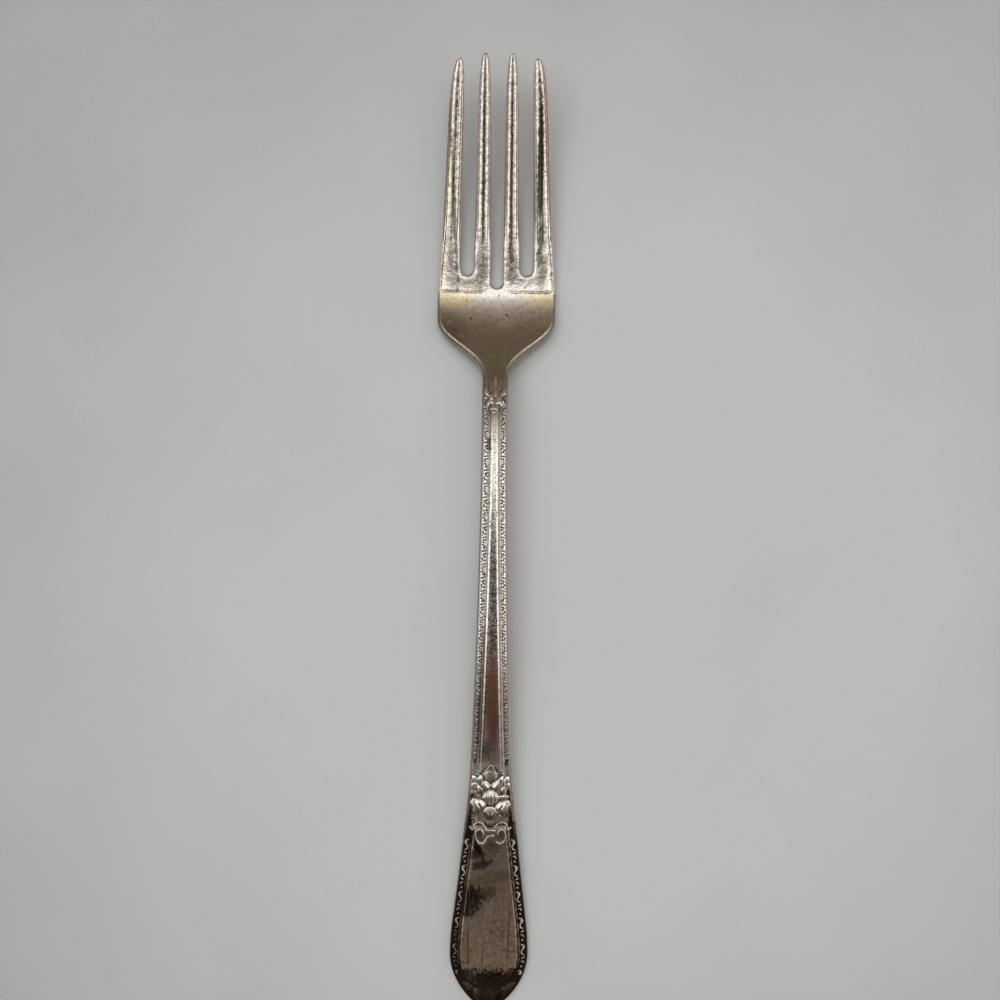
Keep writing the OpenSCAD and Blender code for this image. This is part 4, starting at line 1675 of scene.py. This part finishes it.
# Marks of the two scrolls: arches and rings on a shield, joined by two bars.
SCROLL_MARKS = [
    Shield(31.5, 37.4, 38.85, 3.55, 0.13),
    Leaf(0.0, 38.6, 2.6, 2.1, 180, 0.26, 1),
    *strokes(0.32, (-4.0, 37.75, 0.3, -3.65, 37.35, 0.4), (4.05, 37.6, 0.3, 3.7, 37.35, 0.4), power=0.5),
    *strokes(
        0.28,
        (-3.5, 37.7, 0.2, -3.06, 38.4, 0.3, -2.36, 38.8, 0.38, -1.66, 38.6, 0.34, -1.11, 37.9, 0.25,
         -0.83, 37.3, 0.22),
        (1.0, 37.9, 0.2, 1.54, 38.5, 0.3, 2.38, 38.8, 0.38, 3.08, 38.6, 0.32, 3.6, 37.8, 0.24),
        (-2.22, 34.5, 0.3, -2.8, 35.3, 0.15, -3.0, 36.4, 0.15, -2.75, 37.0, 0.24, -2.22, 37.35, 0.34,
         -1.66, 37.15, 0.3, -1.32, 36.6, 0.2, -1.25, 35.9, 0.15),
        (-2.22, 34.5, 0.32, -1.52, 34.37, 0.32, -1.1, 34.75, 0.24, -0.8, 35.4, 0.2, -0.4, 35.9, 0.24,
         0.6, 36.05, 0.32),
        (1.26, 34.8, 0.24, 1.82, 34.45, 0.32, 2.38, 34.55, 0.28, 2.95, 35.2, 0.16, 3.15, 36.2, 0.15,
         2.9, 37.0, 0.24, 2.24, 37.4, 0.34, 1.7, 37.0, 0.22, 1.5, 36.4, 0.15),
        (-0.78, 37.15, 0.3, 0.88, 37.05, 0.34),
        power=0.5,
    ),
]

# Marks of the neck: a fan of pointed leaves over two small arches, a bar and a dot.
NECK_MARKS = [
    *leaves(
        (0.0, 125.2, 3.6, 1.15, 0, 0.14, 1, 0.6), (-0.95, 124.6, 2.9, 0.95, 10, 0.12, 1, 0.6),
        (1.0, 124.7, 3.0, 0.95, -10, 0.12, 1, 0.6), (-1.7, 123.6, 2.0, 0.85, 28, 0.11, 1),
        (1.85, 123.5, 2.0, 0.85, -28, 0.11, 1), (0.05, 123.0, 1.7, 0.95, 0, 0.14, 1),
        (-0.85, 122.2, 1.3, 0.8, 24, 0.19, 1), (1.0, 122.4, 1.5, 0.8, -16, 0.12, 1),
    ),
    *strokes(0.12, (-2.25, 120.4, 0.2, -1.65, 120.45, 0.2), (-0.14, 119.4, 0.24, -0.1, 119.35, 0.24)),
    *strokes(
        0.14, (1.5, 121.6, 0.16, 1.85, 120.9, 0.2),
        (-0.78, 119.95, 0.2, -0.2, 120.08, 0.24, 0.4, 119.85, 0.22),
    ),
    *strokes(0.16, (-2.0, 121.95, 0.22, -1.7, 122.1, 0.2)),
    *strokes(
        0.17, (-1.42, 120.85, 0.27, -1.32, 121.2, 0.38, -0.95, 121.35, 0.38, -0.5, 121.15, 0.3),
        (0.3, 121.05, 0.27, 0.75, 121.3, 0.38, 1.15, 121.2, 0.38, 1.38, 120.8, 0.3),
    ),
    *strokes(0.18, (-1.85, 123.0, 0.2, -1.3, 122.5, 0.24), (1.95, 122.95, 0.24, 1.45, 122.55, 0.2)),
]

# Marks of the handle's tip: broad lobes on a dark ground under the panel's scallops.
TIP_MARKS = [
    *leaves(
        (-2.1, 3.3, 3.0, 1.9, 32, 0.2, 1, 0.5), (0.15, 2.9, 3.4, 1.7, 0, 0.18, 1, 0.5),
        (2.5, 3.5, 3.0, 1.9, -34, 0.2, 1, 0.5), (-4.2, 4.9, 2.6, 1.3, 48, 0.18, 1, 0.5),
        (4.4, 4.9, 2.6, 1.3, -48, 0.18, 1, 0.5),
    ),
    *strokes(0.14, (-0.2, 6.0, 0.3, -0.2, 6.05, 0.3)),
    *strokes(0.16, (-2.7, 5.4, 0.34, -2.65, 5.45, 0.34)),
    *strokes(0.2, (1.7, 6.6, 0.5, 1.72, 6.7, 0.5)),
]

# Bright, pitted plate of the web and the tines, dark and coppery along the tines, with a painted highlight on the
# web beside the crease.
TINE_FINISH = SilverFinish(
    "silver_front", (0.88, 0.83, 0.765), roughness=0.07, dents=0.085, pits=1.0, mottle=0.22, sparkle=0.4,
    patches=(
        (-5.3, 51.4, 3.4, 1.0, OLIVE, 0.5), (9.3, 53.7, 0.8, 3.4, OLIVE, 0.6, -8),
        (8.6, 56.5, 0.7, 1.6, BLACK, 0.6, 0, 1.3), (2.8, 57.2, 0.6, 2.4, PLUM, 0.6, 0, 1.4),
        (-9.2, 56.8, 0.6, 2.6, BROWN, 0.5, 0, 1.4), (-3.0, 54.5, 1.1, 5.0, GREY, 0.55, 0, 1.6),
        (-8.7, 53.0, 1.3, 4.0, GREY, 0.5, 0, 1.2, 0.8), (8.9, 53.0, 1.0, 4.0, GREY, 0.45, 0, 1.2, 0.8),
        # The second patch here is a painted highlight beside the crease.
        (3.3, 54.0, 1.2, 4.0, GREY, 0.5, 0, 1.5), (4.7, 50.7, 3.4, 1.6, PAINTED_HIGHLIGHT, 0.7, 0, 1.6),
        (8.45, 74.0, 0.62, 14.0, BLACK, 0.92, 0, 0.9), (8.55, 61.5, 0.8, 3.6, GREY, 0.6, 0, 1.4),
        (8.7, 59.5, 0.5, 3.4, BLACK, 0.6, 0, 1.5), (2.65, 72.0, 0.28, 15.0, PLUM, 0.85, 0, 1.5),
        (2.75, 60.0, 0.45, 6.0, BROWN, 0.6, 0, 1.4), (-2.8, 72.0, 0.32, 16.0, PLUM, 0.85, 0, 1.5),
        (-8.7, 68.0, 0.4, 18.0, PLUM, 0.7, 3, 1.5), (9.9, 78.0, 0.6, 18.0, COPPER, 0.6, 4),
        (-10.3, 74.0, 0.7, 18.0, COPPER, 0.5, -4), (-9.7, 68.5, 0.4, 9.0, GOLD, 0.5, -4),
        (1.6, 80.0, 0.4, 12.0, COPPER, 0.35, 0), (-11.0, 54.0, 0.35, 4.6, GOLD, 0.6, 0, 0.6),
    ),
)

# Warm, dull plate of the bowl and the neck with a few black dots, a painted highlight across the crease under the
# tines, a painted golden reflection on each side below it, and small painted glints.
BOWL_FINISH = SilverFinish(
    "silver_bowl", (0.50, 0.43, 0.345), tarnish=(0.33, 0.25, 0.17), tarnish_share=0.35, roughness=0.21,
    dents=0.015, pits=0.4, wear_and_light=1.0, mottle=0.28,
    patches=(
        (0.0, 31.5, 3.4, 4.6, BROWN, 0.35, 0, 0.4, 0.8), (0.1, 29.9, 1.8, 2.9, BLACK, 0.45, 0, 1.6, 0.7),
        # The first three patches from here are a painted highlight across the crease and painted golden
        # reflections below it, one on each side.
        (0.0, 51.0, 16.0, 7.6, PAINTED_HIGHLIGHT, 0.85, 0, 0.15, 0.85), (-8.6, 48.6, 5.0, 3.2, GOLD, 0.65, 0, 0.2, 0.7),
        (8.8, 48.6, 4.4, 3.0, GOLD, 0.55, 0, 0.2, 0.7), (-10.0, 41.5, 5.0, 6.0, BROWN, 0.45, 0, 0.3, 0.9),
        (-5.06, 44.44, 0.2, 0.2, BLACK, 0.95, 0, 0.2), (2.06, 45.14, 0.22, 0.22, BLACK, 0.95, 0, 0.2),
        (0.5, 49.1, 0.18, 0.18, BLACK, 0.9, 0, 0.2), (-6.0, 48.1, 0.16, 0.16, BLACK, 0.7, 0, 0.2),
        # From the second patch here on, the bright rings and flecks are painted glints.
        (0.0, 34.0, 6.0, 6.0, OLIVE, 0.18), (-9.3, 43.6, 0.5, 0.36, PAINTED_HIGHLIGHT, 0.6, 20, 0.5, 0.35, True),
        (-7.0, 40.7, 0.64, 0.36, PAINTED_HIGHLIGHT, 0.55, -12, 0.5, 0.35, True),
        (9.4, 43.9, 0.5, 0.3, PAINTED_HIGHLIGHT, 0.5, 25, 0.8, 0.35, True),
        (-1.6, 47.9, 0.12, 0.9, PAINTED_HIGHLIGHT, 0.9, 40, 0.3), (1.9, 43.6, 1.6, 0.9, PAINTED_HIGHLIGHT, 0.25, 0, 1.6),
    ),
)

# Bright plate of the stem, with a grained black strip and a red patch on its panel.
STEM_FINISH = SilverFinish(
    "silver_stem", (0.76, 0.72, 0.67), roughness=0.11, dents=0.018, mottle=0.2,
    patches=(
        (-1.0, 18.9, 0.45, 1.5, BLACK, 0.7), (0.15, -8.0, 0.8, 15.5, GREY, 0.4, 0.6, 0.5, 0.2),
        (0.1, -9.0, 0.72, 14.5, BLACK, 0.85, 0.6, 3.0, 0.3, False, 12.0),
        (0.1, -19.5, 0.9, 6.0, PLUM, 0.8, 0, 2.6, 0.4, False, 10.0),
        (0.1, -31.0, 1.9, 10.5, RED, 0.9, 0, 0.25, 0.7), (0.7, -38.5, 1.1, 6.5, RED, 0.7, 0, 0.5, 0.9),
        (2.5, -5.0, 0.4, 45.0, COPPER, 0.5, 1), (-1.75, -31.0, 0.7, 16.0, BROWN, 0.7, -1.6, 0.5),
        (-0.9, -41.5, 1.2, 2.4, BLACK, 0.6, 0, 0.8, 0.7), (0.0, 27.4, 3.0, 3.2, BROWN, 0.55, 0, 0.6),
    ),
)

# Brown, scuffed plate of the handle's end, with black patches and a black tip, a crescent of painted shade beside
# the left scroll, and painted highlights under the flower spray and beside that crescent.
END_FINISH = SilverFinish(
    "silver_end", (0.50, 0.395, 0.315), tarnish=(0.28, 0.19, 0.125), tarnish_share=0.6, roughness=0.2,
    scuff=0.6, dents=0.014, pits=0.6, wear_and_light=0.1, mottle=0.6,
    patches=(
        # The first patch here is a painted highlight under the flower spray.
        (0.0, -46.5, 7.0, 5.0, PAINTED_HIGHLIGHT, 0.55, 0, 0.6), (0.8, -63.0, 4.0, 8.0, GREY, 0.35, 0, 1.0, 0.8),
        # The next three black patches draw the crescent of painted shade beside the left scroll.
        (-4.0, -58.9, 0.45, 2.4, BLACK, 0.95, 6, 0.3, 0.35), (-3.4, -59.4, 0.6, 2.0, BLACK, 1.0, 10, 0.3, 0.35),
        (-2.6, -61.6, 0.6, 1.6, BLACK, 1.0, 38, 0.3, 0.35), (-4.3, -72.6, 3.0, 3.2, BLACK, 0.9, -24, 1.1),
        (-1.6, -71.2, 3.2, 1.5, BLACK, 0.6, 16, 1.3), (0.2, -68.0, 4.2, 1.2, BROWN, 0.5, 14, 1.2),
        (-4.15, -82.0, 0.11, 4.6, BLACK, 0.9, 1, 0.3), (-1.3, -83.5, 0.1, 4.4, BLACK, 0.85, -1, 0.3),
        (0.9, -79.0, 0.07, 3.6, BLACK, 0.55, 2, 0.25), (3.9, -80.0, 0.1, 6.0, BLACK, 0.75, -2, 0.3),
        # The first patch here is a thin painted highlight beside that crescent.
        (-3.4, -60.8, 0.3, 2.8, PAINTED_HIGHLIGHT, 0.3, -6, 0.6, 0.8), (-1.2, -62.2, 3.2, 1.3, BLACK, 0.85, 24, 1.2),
        (-1.6, -65.2, 2.0, 0.9, BLACK, 0.8, 20, 1.3), (-0.5, -83.0, 4.6, 5.0, OLIVE, 0.28, 0, 1.0, 0.7),
        (0.3, -91.4, 5.2, 4.8, BLACK, 0.96, 0, 1.2), (1.2, -88.6, 4.2, 1.6, BLACK, 0.95, 0, 1.4),
    ),
)

# Bright, mottled silver of the flower spray, brown towards the scrolls, with painted highlights on the stars of
# small leaves and the top leaf, and painted shade on the lower halves of the two petals.
SPRAY_FINISH = SilverFinish(
    "silver_chased", (0.75, 0.67, 0.595), tarnish_share=0.35, roughness=0.12, dents=0.03, mottle=0.4, wear_and_light=0.8,
    patches=(
        # Painted highlights on the two stars of small leaves.
        (-2.6, -47.9, 2.2, 2.4, PAINTED_HIGHLIGHT, 0.95, 0, 0.4), (2.7, -47.9, 2.0, 2.4, PAINTED_HIGHLIGHT, 0.95, 0, 0.4),
        # The first patch here is a painted highlight on the top leaf; the two brown ones after it are painted
        # shade on the petals' lower halves.
        (0.0, -45.5, 2.2, 1.8, PAINTED_HIGHLIGHT, 0.6, 0, 0.4), (-3.3, -53.7, 1.7, 1.5, BROWN, 0.85, 20, 0.8, 0.7),
        (3.2, -54.1, 1.7, 1.5, BROWN, 0.85, -20, 0.8, 0.7), (-1.0, -55.6, 2.4, 0.9, BROWN, 0.5, 0, 0.8, 0.7),
    ),
)

# Brown silver of the scrolls, black beside the left one, where the black is a crescent of painted shade.
SCROLL_FINISH = SilverFinish(
    "silver_scrolls", (0.47, 0.38, 0.31), tarnish=(0.25, 0.17, 0.12), tarnish_share=0.5, roughness=0.13,
    dents=0.022, mottle=0.4, wear_and_light=0.65,
    patches=(
        # The black patches at x -3.4 and -2.6 draw the crescent of painted shade beside the left scroll.
        (0.0, -56.7, 4.0, 0.8, BROWN, 0.7, 0, 0.6, 0.5), (-3.4, -59.2, 0.42, 2.0, BLACK, 1.0, 10, 0.3, 0.35),
        (-2.6, -61.4, 0.55, 1.5, BLACK, 1.0, 38, 0.3, 0.35), (0.3, -61.2, 1.6, 0.8, BLACK, 0.4, 0, 1.2, 0.8),
        (-2.1, -58.6, 0.6, 0.9, BLACK, 0.55, 0, 0.6, 0.8), (2.3, -58.8, 0.6, 0.9, BROWN, 0.6, 0, 0.6, 0.8),
    ),
)

# Rubbed silver of the stem's husks, brown along the lower stem.
STEM_HUSK_FINISH = SilverFinish(
    "silver_husks", (0.84, 0.80, 0.74), tarnish_share=0.2, roughness=0.11, wear_and_light=0.95,
    patches=(
        (-2.95, -29.0, 0.9, 15.0, BROWN, 0.85, 2, 1.6, 0.5, False, 3.0),
        (3.0, -34.0, 0.9, 10.0, BROWN, 0.6, -2, 1.6, 0.5, False, 3.0),
        (-2.3, 10.0, 0.5, 14.0, BROWN, 0.4, 0, 1.6, 0.5, False, 3.0),
    ),
)

# Dim silver of the husks on the handle's end, brighter on the right with a painted highlight and a golden tint.
END_HUSK_FINISH = SilverFinish(
    "silver_dim_husks", (0.52, 0.425, 0.34), tarnish=(0.16, 0.11, 0.075), tarnish_share=0.7, roughness=0.12,
    dents=0.03, mottle=0.6, wear_and_light=0.7,
    patches=((5.6, -70.0, 2.6, 12.0, PAINTED_HIGHLIGHT, 0.6, 0, 0.6), (5.6, -84.0, 2.6, 8.0, GOLD, 0.4, 0, 0.6)),
)

# Dull silver of the leaves on the neck, with painted highlights on the arches.
NECK_FINISH = SilverFinish(
    "silver_dull", (0.50, 0.405, 0.325), tarnish=(0.2, 0.14, 0.1), tarnish_share=0.4, roughness=0.14,
    dents=0.012, wear_and_light=0.95,
    patches=((0.0, 26.6, 2.2, 1.0, PAINTED_HIGHLIGHT, 0.9, 0, 0.3, 0.3), (0.0, 24.8, 1.2, 0.9, PAINTED_HIGHLIGHT, 0.8, 0, 0.3, 0.3)),
)

# Nearly black plate of the handle's tip.
TIP_FINISH = SilverFinish(
    "silver_tip", (0.07, 0.056, 0.03), tarnish=(0.11, 0.085, 0.045), tarnish_share=0.3, roughness=0.3, wear_and_light=0.0,
    patches=((0.6, -91.0, 2.6, 4.0, BLACK, 0.9, 0, 0.7), (1.0, -87.5, 4.0, 1.6, BLACK, 0.8, 0, 0.8)),
)


def main() -> None:
    """Builds the fork, each piece of which is reported, then the studio."""
    logging.basicConfig(level=logging.INFO, format="%(message)s")
    end = HandleEnd("handle_end", 0.0, FORM.end_l, pitch=0.2, panel_n=20, wall_shade_and_tarnish=(0.45, 0.4))
    end.build(END_FINISH, "silver_warm")
    Plate("stem", FORM.end_l, FORM.neck_at).build(STEM_FINISH, "silver_plate")
    Plate("neck", FORM.neck_at, FORM.bowl_at, wall_shade_and_tarnish=(0.5, 0.4)).build(BOWL_FINISH, "silver_plate")
    bowl = Bowl("bowl", FORM.bowl_at, FORM.step_at, pitch=0.2, panel_n=24, wall_shade_and_tarnish=(0.4, 0.4))
    bowl.build(BOWL_FINISH, "silver_warm")
    WEB.build(TINE_FINISH, "silver_plate")
    for tine in (
        Tine("tine_outer_left", -11.25, -7.32, -7.9, 189.1, bend=-0.45),
        Tine("tine_inner_left", -4.62, -1.2, -2.65, FORM.fork_l),
        Tine("tine_inner_right", 1.2, 4.62, 2.65, FORM.fork_l),
        Tine("tine_outer_right", 7.32, 11.25, 7.9, 189.1, bend=0.45),
    ):
        tine.build(TINE_FINISH, "silver_plate")
    Chasing("neck_leaves", 118.9, 127.4, NECK_MARKS).build(NECK_FINISH, "chased_silver")
    # Painted shade on the husks: more on the left than on the right.
    for name, side, stem_shade, end_shade in (("left", -1, 0.3, 0.42), ("right", 1, 0.2, 0.22)):
        HuskBorder(
            f"stem_husks_{name}", 51.4, 121.2, HUSK_MARKS, side=side, motif_from=68.3,
            painted_shade=stem_shade, painted_shade_at=62.0,
        ).build(STEM_HUSK_FINISH, "chased_silver")
        HuskBorder(
            f"end_husks_{name}", 7.0, 35.9, END_HUSK_MARKS, side=side, motif_l=5.4, motif_from=35.2,
            curled=True, painted_shade=end_shade, painted_shade_at=23.0,
        ).build(END_HUSK_FINISH, "chased_silver")
    Chasing("flower_spray", 39.05, 51.0, SPRAY_MARKS).build(SPRAY_FINISH, "chased_silver")
    Chasing("scroll_pair", 31.2, 38.95, SCROLL_MARKS).build(SCROLL_FINISH, "chased_silver")
    Chasing("tip_leaves", 1.2, 7.6, TIP_MARKS, pitch=0.07).build(TIP_FINISH, "chased_silver")
    Studio().build()
    scene = bpy.context.scene
    scene.view_settings.view_transform = "Standard"


if __name__ == "__main__":
    main()
